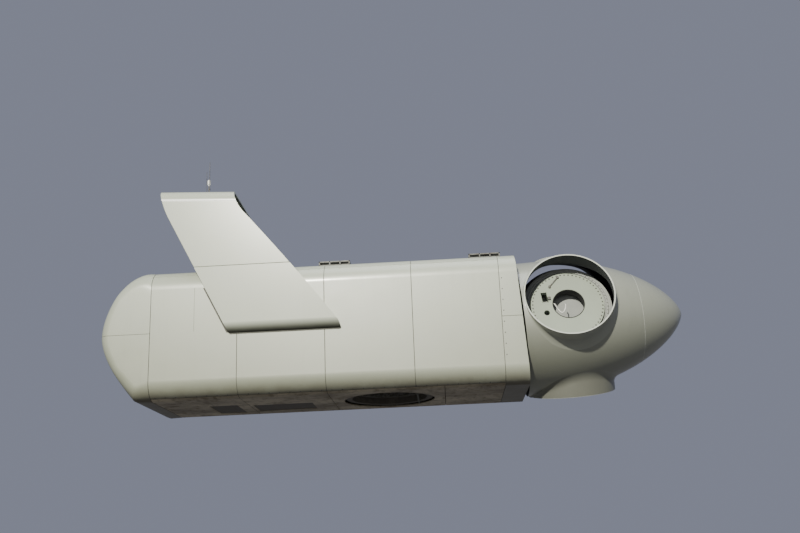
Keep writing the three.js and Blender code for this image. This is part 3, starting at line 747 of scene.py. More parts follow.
def sheet_outline(name: str, outline: Sequence[tuple[float, float]], low: float,
                  high: float) -> bpy.types.Object:
    """A slab with an outline in X and Z, between two values of Y.

    Args:
        name: the piece's name.
        outline: points of x and z, in order.
        low: lowest y.
        high: highest y.

    Returns:
        The slab.
    """
    bpy.ops.object.select_all(action="DESELECT")
    bpy.ops.mesh.primitive_circle_add(vertices=len(outline), radius=1, fill_type="NGON")
    piece = bpy.context.active_object
    for spot, (x, z) in zip(piece.data.vertices, outline):
        spot.co = (x, low, z)
    edit_all(piece)
    bpy.ops.mesh.extrude_region_move(TRANSFORM_OT_translate={"value": (0, high - low, 0)})
    leave()
    clean_normals(piece)
    return new_name(piece, name)


def bolt_head(name: str, radius: float, height: float) -> bpy.types.Object:
    """A hexagon bolt head on its washer, standing on z = 0."""
    washer = drum(f"{name}_washer", radius * 1.35, 0, height * 0.25, 14)
    head = drum(name, radius, height * 0.25, height, 6)
    edit(head, "FACE", lambda spot: spot.z > height * 0.9)
    bpy.ops.mesh.inset(thickness=radius * 0.12)
    bpy.ops.transform.translate(value=(0, 0, height * 0.08))
    leave()
    return joined(name, [head, washer])


def stand(at: Sequence[float], up: Sequence[float]) -> Matrix:
    """A matrix that stands a piece on a point, with its Z along a direction."""
    turn = Vector(up).to_track_quat("Z", "Y").to_matrix().to_4x4()
    return Matrix.Translation(at) @ turn


def bolt_circle(radius: float, count: int, level: float) -> list[Matrix]:
    """The places of a circle of upright bolts round Z."""
    turns = [2 * math.pi * i / count for i in range(count)]
    return [stand((radius * math.cos(turn), radius * math.sin(turn), level), (0, 0, 1)) for turn in turns]


def dress(piece: bpy.types.Object, body: Body, slot: str, *materials: bpy.types.Material,
          stands_for: Sequence[str] = ()) -> bpy.types.Object:
    """Gives a piece its body and materials, and hides the CAD nodes it stands for.

    Args:
        piece: the piece.
        body: the body it rides on.
        slot: not used.
        materials: its materials, outside first.
        stands_for: CAD nodes that it replaces.

    Returns:
        The piece.
    """
    while len(piece.data.materials) < len(materials):
        piece.data.materials.append(None)
    for index, material in enumerate(materials):
        piece.data.materials[index] = material
    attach(piece, body.value)
    if stands_for:
        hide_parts(*stands_for)
    log.info("%s: %d faces", piece.name, len(piece.data.polygons))
    return piece


def coat_node(node: str, material: bpy.types.Material) -> None:
    """Gives a CAD node a procedural material."""
    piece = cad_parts[node]
    piece.data.materials.clear()
    piece.data.materials.append(material)
    log.info("%s keeps its own shape", node)


# Housing


@dataclass
class Housing:
    """The glass fibre housing: walls, roof, floor, rear cap and front ring."""

    finish: Palette
    half_width: float = 1.75
    roof: float = 3.20
    floor: float = -0.05
    top_radius: float = 0.55
    bottom_radius: float = 0.45
    wall: float = 0.03
    rear: float = -5.68
    bay: float = 2.135
    front: float = 3.355
    tilt: float = math.radians(3)
    axis_z: float = 1.65
    seam: float = 0.006
    roof_seam_turn: float = math.radians(45)
    floor_seam_turn: float = math.radians(65)
    cap_axis_z: float = 1.56
    cap_rear: float = -6.915
    cap_corner: float = 0.20
    cap_corner_from: float = 0.9
    ring_seam_z: float = 1.56
    hole_radius: float = 1.14
    groove_x: float = -4.6
    seam_bolts: int = 34
    ring_bolts: int = 8
    ring_bolt_pitch: float = 0.27

    def __post_init__(self) -> None:
        """Works out the places of the seams and the rounded skin that all panels are cut from."""
        self.ring_start = self.rear + 4 * self.bay
        self.starts = [self.rear + i * self.bay for i in range(4)]
        self.floor_seams = [self.rear, -3.545, -1.41, 1.41, self.ring_start]
        self.skin = self.rounded_skin()

    def rounded_skin(self) -> bpy.types.Object:
        """Makes the skin that every panel is cut from.

        Returns:
            The housing's rounded section, as an open tube.
        """
        ends = (self.rear, self.front + 0.3)
        skin = cube("skin", (ends[0], -self.half_width, self.floor), (ends[1], self.half_width, self.roof))
        edit(skin, "FACE", lambda spot: min(abs(spot.x - end) for end in ends) < NEAR)
        bpy.ops.mesh.delete(type="ONLY_FACE")
        leave()
        for level, radius, steps in ((self.roof, self.top_radius, 18), (self.floor, self.bottom_radius, 16)):
            edit(skin, "EDGE", lambda spot, z=level: (
                abs(spot.z - z) < NEAR and abs(abs(spot.y) - self.half_width) < NEAR))
            bpy.ops.mesh.bevel(offset=radius, offset_type="OFFSET", segments=steps, profile=0.5,
                               affect="EDGES")
            leave()
        return skin

    def seam_ray(self, side: int, top: bool) -> tuple[Vector, Vector]:
        """A corner's centre and the direction from it to the long seam.

        Args:
            side: sign of Y.
            top: the roof seam, or else the floor seam.

        Returns:
            The centre and the direction.
        """
        if top:
            turn = self.roof_seam_turn
            centre = Vector((0, side * (self.half_width - self.top_radius), self.roof - self.top_radius))
            return centre, Vector((0, side * math.cos(turn), math.sin(turn)))
        turn = self.floor_seam_turn
        centre = Vector((0, side * (self.half_width - self.bottom_radius), self.floor + self.bottom_radius))
        return centre, Vector((0, side * math.cos(turn), -math.sin(turn)))

    def cut_at_seam(self, piece: bpy.types.Object, side: int, top: bool, keep_wall: bool) -> None:
        """Cuts a panel along one of the long seams, leaving half the seam's width."""
        centre, ray = self.seam_ray(side, top)
        turned = side if top else -side
        to_middle = Vector((0, -turned * ray.z, turned * ray.y))
        normal = to_middle if keep_wall else -to_middle
        slice_off(piece, centre - normal * self.seam, normal)

    def panel(self, name: str, start: float, end: float) -> bpy.types.Object:
        """A length of the skin, less half a seam at each end."""
        piece = twin(self.skin, name)
        slice_off(piece, (start + self.seam, 0, 0), (-1, 0, 0))
        slice_off(piece, (end - self.seam, 0, 0), (1, 0, 0))
        return piece

    def finish_panel(self, piece: bpy.types.Object, node: str,
                     tools: Sequence[bpy.types.Object] = ()) -> bpy.types.Object:
        """Gives a panel its wall, rounded edges and finish, in its node's place, less some tools."""
        thicken(piece, self.wall, inside=True)
        carve(piece, tools)
        ease(piece, 0.006, 2, 60)
        smooth(piece)
        return dress(piece, Body.HOUSING, "shell_gelcoat", self.finish.shell, self.finish.raw_glass,
                     stands_for=[node])

    def build_walls(self) -> None:
        """Builds the eight side panels."""
        for side in Side:
            for index, start in enumerate(self.starts):
                node = f"wall_{side.name.lower()}_{index + 1}"
                piece = self.panel(f"{node}_panel", start, start + self.bay)
                slice_off(piece, (0, 0, 0), (0, -side.value, 0))
                self.cut_at_seam(piece, side.value, True, True)
                self.cut_at_seam(piece, side.value, False, True)
                tools = []
                if node == "wall_right_1":
                    x = self.groove_x
                    tools.append(cube("groove", (x - 0.005, -1.8, self.cap_axis_z),
                                      (x + 0.005, -1.742, 2.66)))
                self.finish_panel(piece, node, tools)

    def build_roof(self) -> None:
        """Builds the four roof panels."""
        for index, start in enumerate(self.starts):
            node = f"roof_{index + 1}"
            piece = self.panel(f"{node}_panel", start, start + self.bay)
            slice_off(piece, (0, 0, self.cap_axis_z), (0, 0, -1))
            for side in Side:
                self.cut_at_seam(piece, side.value, True, False)
            self.finish_panel(piece, node)

    def build_floor(self) -> None:
        """Builds the floor panels, with the tower opening and the two hatches."""
        for index, start in enumerate(self.floor_seams[:-1]):
            node = f"floor_{index + 1}"
            piece = self.panel(f"{node}_panel", start, self.floor_seams[index + 1])
            slice_off(piece, (0, 0, self.cap_axis_z), (0, 0, 1))
            for side in Side:
                self.cut_at_seam(piece, side.value, False, False)
            thicken(piece, self.wall)
            tools = []
            if index == 2:
                tools.append(drum("tower_cut", self.hole_radius, self.floor - 0.2, self.floor + 0.2, 96))
            for hatch in ("floor_hatch_rear", "floor_hatch_middle"):
                low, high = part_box(hatch)
                if low[0] > start and high[0] < self.floor_seams[index + 1]:
                    tools.append(cube("hatch_cut", (low[0], low[1], -0.3), (high[0], high[1], 0.3)))
            carve(piece, tools)
            ease(piece, 0.005, 2, 60)
            smooth(piece)
            dress(piece, Body.HOUSING, "shell_gelcoat", self.finish.belly_stains_and_painted_bounce, stands_for=[node])

    def cap_point(self, along: float, upper: bool) -> tuple[Vector, float]:
        """A point of the rear cap's profile.

        Args:
            along: 0 at the top or at the level seam, 1 at the seam or at the floor.
            upper: the upper half, or else the lower.

        Returns:
            The point in X and Z from the cap's axis, and the corner radius there.
        """
        if upper:
            knots = [(self.rear - 0.07, self.roof), (self.rear - 0.67, self.roof),
                     (self.cap_rear, self.cap_axis_z + 0.65), (self.cap_rear, self.cap_axis_z)]
        else:
            knots = [(self.cap_rear, self.cap_axis_z), (self.cap_rear, self.cap_axis_z - 0.41),
                     (self.cap_rear + 0.295, self.cap_axis_z - 0.94), (self.cap_rear + 0.845, self.floor)]
        flat = 0.06
        if upper:
            part = max(0.0, (along - flat) / (1 - flat))
            slide = min(1.0, along / flat)
        else:
            part = min(1.0, along / (1 - flat))
            slide = min(1.0, (1 - along) / flat)
        weights = ((1 - part) ** 3, 3 * part * (1 - part) ** 2, 3 * part ** 2 * (1 - part), part ** 3)
        x = sum(w * k[0] for w, k in zip(weights, knots))
        z = sum(w * k[1] for w, k in zip(weights, knots))
        if slide < 1:
            x = self.rear + (x - self.rear) * slide
        drop = min(1.0, max(0.0, (self.roof - z) / (self.roof - self.floor)))
        wide = self.top_radius + (self.bottom_radius - self.top_radius) * drop
        back = min(1.0, max(0.0, (self.rear - x) / self.cap_corner_from))
        radius = wide + (self.cap_corner - wide) * back
        return Vector((x - self.rear, z - self.cap_axis_z)), radius

    def cap_place(self, along: float, across: float, upper: bool) -> Point:
        """A point of the rear cap's skin, from its profile and the place across it."""
        spot, radius = self.cap_point(along, upper)
        reach = spot.length
        corner = 0.3
        if across < corner or across > 1 - corner:
            side = -1 if across < 0.5 else 1
            share = across / corner if side < 0 else (1 - across) / corner
            arc_share = 0.55
            if share < 1 - arc_share:
                up = (reach - radius) * share / (1 - arc_share)
                y = self.half_width
            else:
                turn = math.pi / 2 * (share - 1 + arc_share) / arc_share
                up = reach - radius + radius * math.sin(turn)
                y = self.half_width - radius + radius * math.cos(turn)
            y *= side
        else:
            up = reach
            y = (self.half_width - radius) * (2 * (across - corner) / (1 - 2 * corner) - 1)
        ray = spot.normalized()
        return (self.rear + ray.x * up, y, self.cap_axis_z + ray.y * up)

    def build_rear_cap(self) -> None:
        """Builds both halves of the rear cap."""
        for node, upper in (("rear_cap_upper", True), ("rear_cap_lower", False)):
            piece = formed_grid(f"{node}_shell", 40, 60, lambda a, b, up=upper: self.cap_place(a, b, up))
            sign = 1 if upper else -1
            slice_off(piece, (0, 0, self.cap_axis_z + sign * self.seam * 0.7), (0, 0, -sign))
            slice_off(piece, (self.rear - self.seam, 0, 0), (1, 0, 0))
            self.finish_panel(piece, node)

    def build_front_ring(self) -> None:
        """Builds both halves of the front ring, cut square to the rotor axis."""
        for node, sign in (("front_ring_upper", 1), ("front_ring_lower", -1)):
            piece = twin(self.skin, f"{node}_shell")
            slice_off(piece, (self.ring_start + self.seam, 0, 0), (-1, 0, 0))
            square = (math.cos(self.tilt), 0, math.sin(self.tilt))
            slice_off(piece, (self.front, 0, self.axis_z), square)
            slice_off(piece, (0, 0, self.ring_seam_z + sign * self.seam * 0.6), (0, 0, -sign))
            self.finish_panel(piece, node)

    def build_sealant(self) -> None:
        """Builds the dark sealant that lies in the seams."""
        depth = 0.008
        half = 0.02
        strips = []
        for index, x in enumerate([*self.starts, self.ring_start]):
            strip = twin(self.skin, f"seam_{index}")
            if x > self.rear + half:
                slice_off(strip, (x - half, 0, 0), (-1, 0, 0))
            slice_off(strip, (x + half, 0, 0), (1, 0, 0))
            modify(strip, "DISPLACE", strength=-depth, mid_level=0.0)
            thicken(strip, 0.006)
            strips.append(strip)
        for side in Side:
            for top in (True, False):
                centre, ray = self.seam_ray(side.value, top)
                radius = self.top_radius if top else self.bottom_radius
                at = centre + ray * (radius - depth - 0.004)
                bar = cube(f"long_seam_{side.name}_{top}", (self.rear, -half, -0.003),
                           (self.ring_start, half, 0.003))
                turn = Matrix.Rotation(math.atan2(ray.z, ray.y) - math.pi / 2, 4, "X")
                moved(bar, Matrix.Translation(at) @ turn)
                strips.append(bar)
        for sign in (-1, 1):
            y = sign * (self.half_width - depth - 0.003)
            strips.append(cube("ring_seam", (self.ring_start, y - 0.003, self.ring_seam_z - half),
                               (self.front - 0.03, y + 0.003, self.ring_seam_z + half)))
        piece = joined("seam_sealant_strips", strips)
        dress(piece, Body.HOUSING, "hatch_panel", self.finish.seal)

    def build_bolt_rows(self) -> None:
        """Builds the bolt heads along the floor seams, roof seams and the front ring's seam."""
        painted, bare = [], []
        for side in Side:
            for top in (True, False):
                centre, ray = self.seam_ray(side.value, top)
                radius = self.top_radius if top else self.bottom_radius
                shift = Vector((0, side.value * -ray.z, side.value * ray.y)) * (-0.05 if top else 0.05)
                out = (ray + shift / radius).normalized()
                row = painted if top else bare
                for i in range(self.seam_bolts):
                    x = self.rear + 0.12 + i * (self.ring_start - self.rear - 0.24) / (self.seam_bolts - 1)
                    row.append(stand(centre + out * radius + Vector((x, 0, 0)), out))
            for i in range(self.ring_bolts):
                at = (self.ring_start + 0.055, side.value * self.half_width, 0.62 + i * self.ring_bolt_pitch)
                bare.append(stand(at, (0, side.value, 0)))
        rows = (("roof_bolts", painted, self.finish.shell), ("housing_bolts", bare, self.finish.bolt))
        for name, places, finish in rows:
            piece = scattered(name, bolt_head(f"{name}_model", 0.010, 0.009), places)
            dress(piece, Body.HOUSING, "bearing_steel", finish)

    def build(self) -> None:
        """Builds the whole housing."""
        self.build_walls()
        self.build_roof()
        self.build_floor()
        self.build_rear_cap()
        self.build_front_ring()
        self.build_sealant()
        self.build_bolt_rows()
        bpy.data.objects.remove(self.skin, do_unlink=True)
        for node in ("floor_hatch_rear", "floor_hatch_middle", "front_bulkhead"):
            coat_node(node, self.finish.hatch)


# Rotor


@dataclass
class Rotor:
    """Hub, spinner, collars and pitch bearings, modelled about the X axis and then put in place."""

    finish: Palette
    hub: Point = (4.55, 0.0, 1.65)
    tilt: float = math.radians(3)
    first_turn: float = math.radians(75.9)
    blades: int = 3
    back: float = -1.145
    drum_end: float = -0.745
    tip: float = 2.985
    radius: float = 1.70
    power: float = 0.65
    wall: float = 0.025
    nose_seam: float = 1.785
    rim: float = 1.712
    collar: float = 1.10
    collar_wall: float = 0.035
    foot_max: float = 0.14
    foot_min: float = 0.012
    plate_radius: float = 0.90
    plate_top: float = 1.10
    plate_seat: float = 0.97
    bearing_outer: float = 1.10
    bearing_top: float = 1.04
    manhole: Point = (0.03, 0.035, 0.385)
    port: Point = (-0.532, -0.156, 0.07)
    slot: tuple[tuple[float, float], ...] = (
        (-0.611, 0.413), (-0.467, 0.415), (-0.448, 0.131), (-0.59, 0.129),
    )
    ring_nuts: int = 60
    nut_circle: float = 0.978
    plate_bolts: int = 54
    bolt_circle: float = 0.855

    def __post_init__(self) -> None:
        """Works out the matrices of the rotor and of each blade's frame."""
        self.place = Matrix.Translation(self.hub) @ Matrix.Rotation(-self.tilt, 4, "Y")
        self.blade_places = [
            self.place @ Matrix.Rotation(self.first_turn + i * 2 * math.pi / self.blades, 4, "X")
            for i in range(self.blades)
        ]

    def skin_radius(self, x: float) -> float:
        """The spinner's radius at a place along the axis."""
        reach = min(1.0, max(0.0, (x - self.drum_end) / (self.tip - self.drum_end)))
        return self.radius * (1 - reach ** 2) ** self.power

    def skin_height(self, x: float, y: float) -> float:
        """The skin's height above the axis in a blade's frame."""
        return math.sqrt(self.skin_radius(x) ** 2 - y ** 2)

    def foot_width(self, turn: float) -> float:
        """How far the collar's foot spreads at an angle round it."""
        skin = self.skin_height(self.collar * math.cos(turn), self.collar * math.sin(turn))
        spread = self.foot_min + 0.4 * (self.rim - skin - self.foot_min)
        return min(self.foot_max, max(self.foot_min, spread))

    def build_shell(self) -> None:
        """Builds the spinner's shell with its three openings, and its nose."""
        steps = 40
        stations = [self.back + (self.nose_seam - 0.004 - self.back) * i / steps for i in range(steps + 1)]
        profile = [(x, self.skin_radius(x)) for x in stations]
        shell = spun("spinner_shell_skin", profile, 144)
        thicken(shell, self.wall, inside=True)
        for i in range(self.blades):
            carve(shell, [self.opening_tool(i)])
        smooth(shell, 25)
        moved(shell, self.place)
        dress(shell, Body.ROTOR, "shell_gelcoat", self.finish.spinner, self.finish.dark_inside,
              stands_for=["spinner_shell"])
        tip_steps = 30
        length = self.tip - self.nose_seam
        line = []
        for i in range(tip_steps + 1):
            share = math.sin(math.pi / 2 * i / tip_steps)
            x = self.nose_seam + length * share
            line.append((x, self.skin_radius(x)))
        nose = spun("spinner_nose_skin", line, 144)
        thicken(nose, self.wall, inside=True)
        smooth(nose, 40)
        moved(nose, self.place)
        dress(nose, Body.ROTOR, "shell_gelcoat", self.finish.spinner, self.finish.dark_inside,
              stands_for=["spinner_nose"])
        edge = self.skin_radius(self.nose_seam)
        band = [(self.nose_seam - 0.01, edge - 0.002), (self.nose_seam - 0.01, edge + 0.003),
                (self.nose_seam + 0.006, edge - 0.001), (self.nose_seam + 0.006, edge - 0.012)]
        seal = spun("nose_seam_seal", band, 144, closed=True)
        smooth(seal)
        moved(seal, self.place)
        dress(seal, Body.ROTOR, "shell_gelcoat", self.finish.nose_seal)

    def opening_tool(self, index: int) -> bpy.types.Object:
        """The upright prism that cuts one collar's opening out of the shell."""
        steps = 96
        bpy.ops.object.select_all(action="DESELECT")
        bpy.ops.mesh.primitive_circle_add(vertices=steps, radius=1, fill_type="NGON")
        tool = bpy.context.active_object
        for i, spot in enumerate(tool.data.vertices):
            turn = 2 * math.pi * i / steps
            reach = self.collar + self.foot_width(turn)
            spot.co = (reach * math.cos(turn), reach * math.sin(turn), 0.5)
        edit_all(tool)
        bpy.ops.mesh.extrude_region_move(TRANSFORM_OT_translate={"value": (0, 0, 2)})
        leave()
        clean_normals(tool)
        return moved(tool, Matrix.Rotation(self.first_turn + index * 2 * math.pi / self.blades, 4, "X"))

    def collar_point(self, round_: float, along: float) -> Point:
        """A point of a collar's outer skin, from its foot up to the rim."""
        turn = 2 * math.pi * round_
        foot = self.foot_width(turn)

        def height(reach: float) -> float:
            return self.skin_height(reach * math.cos(turn), reach * math.sin(turn))

        bend_top = min(self.rim - 0.01, height(self.collar) + foot)
        start = (self.collar + foot, height(self.collar + foot))
        knee = (self.collar, min(height(self.collar), bend_top - 0.001))
        end = (self.collar, bend_top)
        bend_share = 0.7
        if along < bend_share:
            t = along / bend_share
            reach = (1 - t) ** 2 * start[0] + 2 * t * (1 - t) * knee[0] + t ** 2 * end[0]
            up = (1 - t) ** 2 * start[1] + 2 * t * (1 - t) * knee[1] + t ** 2 * end[1]
        else:
            reach = self.collar
            up = bend_top + (self.rim - bend_top) * (along - bend_share) / (1 - bend_share)
        return (reach * math.cos(turn), reach * math.sin(turn), up)

    def build_collars(self) -> None:
        """Builds the three collars: one is modelled and copied."""
        model = formed_grid("collar_model", 128, 14, self.collar_point)
        thicken(model, self.collar_wall, inside=True)
        edit(model, "EDGE", lambda spot: abs(spot.z - self.rim) < 0.004)
        bpy.ops.mesh.bevel(offset=0.008, segments=2, affect="EDGES")
        leave()
        smooth(model, 40)
        for face in model.data.polygons:
            if face.center.z > self.rim - 0.012:
                face.material_index = 2
        for i, place in enumerate(self.blade_places):
            piece = twin(model, f"collar_{i + 1}_skin", place)
            dress(piece, Body.ROTOR, "shell_gelcoat", self.finish.collar, self.finish.dark_inside,
                  self.finish.rim, stands_for=[f"collar_{i + 1}"])
        bpy.data.objects.remove(model, do_unlink=True)

    def ring(self, name: str, section: Sequence[tuple[float, float]], steps: int = 96) -> bpy.types.Object:
        """A ring about Z from a closed section of radius and height."""
        piece = spun(name, [(height, radius) for radius, height in section], steps, closed=True)
        return moved(piece, Matrix.Rotation(-math.pi / 2, 4, "Y"))

    def build_bearings(self) -> None:
        """Builds the fixed rings of the pitch bearings, with their seals and nuts."""
        top = self.bearing_top
        section = [(0.80, 0.9303), (self.bearing_outer, 0.9303), (self.bearing_outer, top - 0.045),
                   (1.06, top - 0.045), (1.06, top - 0.02), (1.015, top - 0.02), (1.015, top - 0.035),
                   (1.0, top - 0.035), (1.0, top), (0.955, top), (0.955, top - 0.03), (0.94, top - 0.03),
                   (0.94, top - 0.01), (0.91, top - 0.01), (0.91, self.plate_seat), (0.80, self.plate_seat)]
        model = self.ring("bearing_model", section)
        ease(model, 0.004, 1)
        smooth(model, 30)
        places = bolt_circle(self.nut_circle, self.ring_nuts, top)
        nuts = scattered("ring_nuts_model", bolt_head("ring_nut", 0.014, 0.02), places)
        for i, place in enumerate(self.blade_places):
            piece = twin(model, f"bearing_ring_{i + 1}_skin", place)
            dress(piece, Body.ROTOR, "bearing_steel", self.finish.ring_paint,
                  stands_for=[f"bearing_ring_{i + 1}"])
            dress(twin(nuts, f"bearing_nuts_{i + 1}", place), Body.ROTOR, "bearing_steel",
                  self.finish.ring_paint)
        for used in (model, nuts):
            bpy.data.objects.remove(used, do_unlink=True)

    def plate_model(self) -> bpy.types.Object:
        """Makes the turning plate.

        Returns:
            The plate, with its manhole and two small openings.
        """
        seat = self.plate_seat + 0.0004
        low, high = seat - 0.1, self.plate_top + 0.1
        plate = drum("plate_model", self.plate_radius, seat, self.plate_top, 128)
        x, y, radius = self.manhole
        hole = drum("manhole_cut", radius, low, high, 72, Matrix.Translation((x, y, 0)))
        slot = sheet_outline("slot_cut", self.slot, low, high)
        moved(slot, Matrix(((1, 0, 0, 0), (0, 0, 1, 0), (0, 1, 0, 0), (0, 0, 0, 1))))
        clean_normals(slot)
        x, y, radius = self.port
        port = drum("port_cut", radius, low, high, 32, Matrix.Translation((x, y, 0)))
        carve(plate, [hole, slot, port])
        ease(plate, 0.005, 2, 40)
        smooth(plate, 30)
        return plate

    def fitting_models(self) -> dict[str, bpy.types.Object]:
        """Makes the small things on a plate.

        Returns:
            The bolts, the manhole's rim, the bracket and the latch, by name.
        """
        top = self.plate_top
        x, y, radius = self.manhole
        places = bolt_circle(self.bolt_circle, self.plate_bolts, top)
        bolts = scattered("plate_bolts_model", bolt_head("plate_bolt", 0.014, 0.02), places)
        inner, outer = radius - 0.004, radius + 0.012
        section = [(inner, 0.88), (outer, 0.88), (outer, top + 0.012), (inner, top + 0.012)]
        rim = self.ring("manhole_rim_model", section, 72)
        moved(rim, Matrix.Translation((x, y, 0)))
        ease(rim, 0.003, 1)
        smooth(rim)
        bar = cube("bracket_bar", (-0.17, -0.014, 0), (0.17, 0.014, 0.028))
        ease(bar, 0.004, 2)
        feet = [drum("bracket_foot", 0.032, 0, 0.04, 20, Matrix.Translation((end, 0, 0)))
                for end in (-0.17, 0.17)]
        bracket = joined("bracket_model", [bar, *feet])
        moved(bracket, Matrix.Translation((-0.247, 0.675, top)) @ Matrix.Rotation(math.radians(46), 4, "Z"))
        latch = cube("latch_model", (-0.455, 0.19, top), (-0.385, 0.27, top + 0.05))
        ease(latch, 0.012, 3)
        smooth(latch)
        return {"bolts": bolts, "rim": rim, "bracket": bracket, "latch": latch}

    def cable_loop(self) -> bpy.types.Object:
        """Makes the pale lead that hangs in a loop over the manhole's edge.

        Returns:
            The lead.
        """
        top = self.plate_top
        curve = bpy.data.curves.new("cable_model", "CURVE")
        curve.dimensions = "3D"
        curve.bevel_depth = 0.014
        curve.bevel_resolution = 4
        spline = curve.splines.new("BEZIER")
        route = [(-0.33, 0.10, top - 0.06), (-0.315, 0.03, top + 0.05), (-0.25, -0.11, top + 0.035),
                 (-0.165, -0.205, top + 0.03), (-0.095, -0.14, top + 0.035), (-0.055, -0.02, top + 0.045),
                 (-0.06, 0.05, top - 0.03)]
        spline.bezier_points.add(len(route) - 1)
        for knot, spot in zip(spline.bezier_points, route):
            knot.co = spot
            knot.handle_left_type = knot.handle_right_type = "AUTO"
        piece = bpy.data.objects.new("cable_model", curve)
        bpy.context.scene.collection.objects.link(piece)
        bpy.ops.object.select_all(action="DESELECT")
        piece.select_set(True)
        bpy.context.view_layer.objects.active = piece
        bpy.ops.object.convert(target="MESH")
        smooth(piece, 60)
        return piece

    def build_plates(self) -> None:
        """Builds the three turning plates and what is on them."""
        plate = self.plate_model()
        models = self.fitting_models()
        cable = self.cable_loop()
        # The manhole rim is dark rubber, which also paints the shade inside the manhole's upper wall.
        looks = {"bolts": self.finish.plate_bolt, "rim": self.finish.rubber_and_shade,
                 "bracket": self.finish.steel_paint, "latch": self.finish.steel_paint}
        bodies = (Body.BLADE_1, Body.BLADE_2, Body.BLADE_3)
        for i, (place, body) in enumerate(zip(self.blade_places, bodies)):
            piece = twin(plate, f"pitch_plate_{i + 1}_skin", place)
            dress(piece, body, "plate_paint", self.finish.plate, stands_for=[f"pitch_plate_{i + 1}"])
            for part, model in models.items():
                dress(twin(model, f"plate_{i + 1}_{part}", place), body, "bearing_steel", looks[part])
        dress(twin(cable, "plate_1_lead", self.blade_places[0]), Body.BLADE_1, "plate_paint",
              self.finish.pale_seal)
        for used in (plate, cable, *models.values()):
            bpy.data.objects.remove(used, do_unlink=True)

    def build(self) -> None:
        """Builds the rotor."""
        self.build_shell()
        self.build_collars()
        self.build_bearings()
        self.build_plates()
        coat_node("spinner_back", self.finish.dark_inside)
        coat_node("hub_casting", self.finish.hub_paint)
        coat_node("main_shaft", self.finish.bearing)


# Cooler


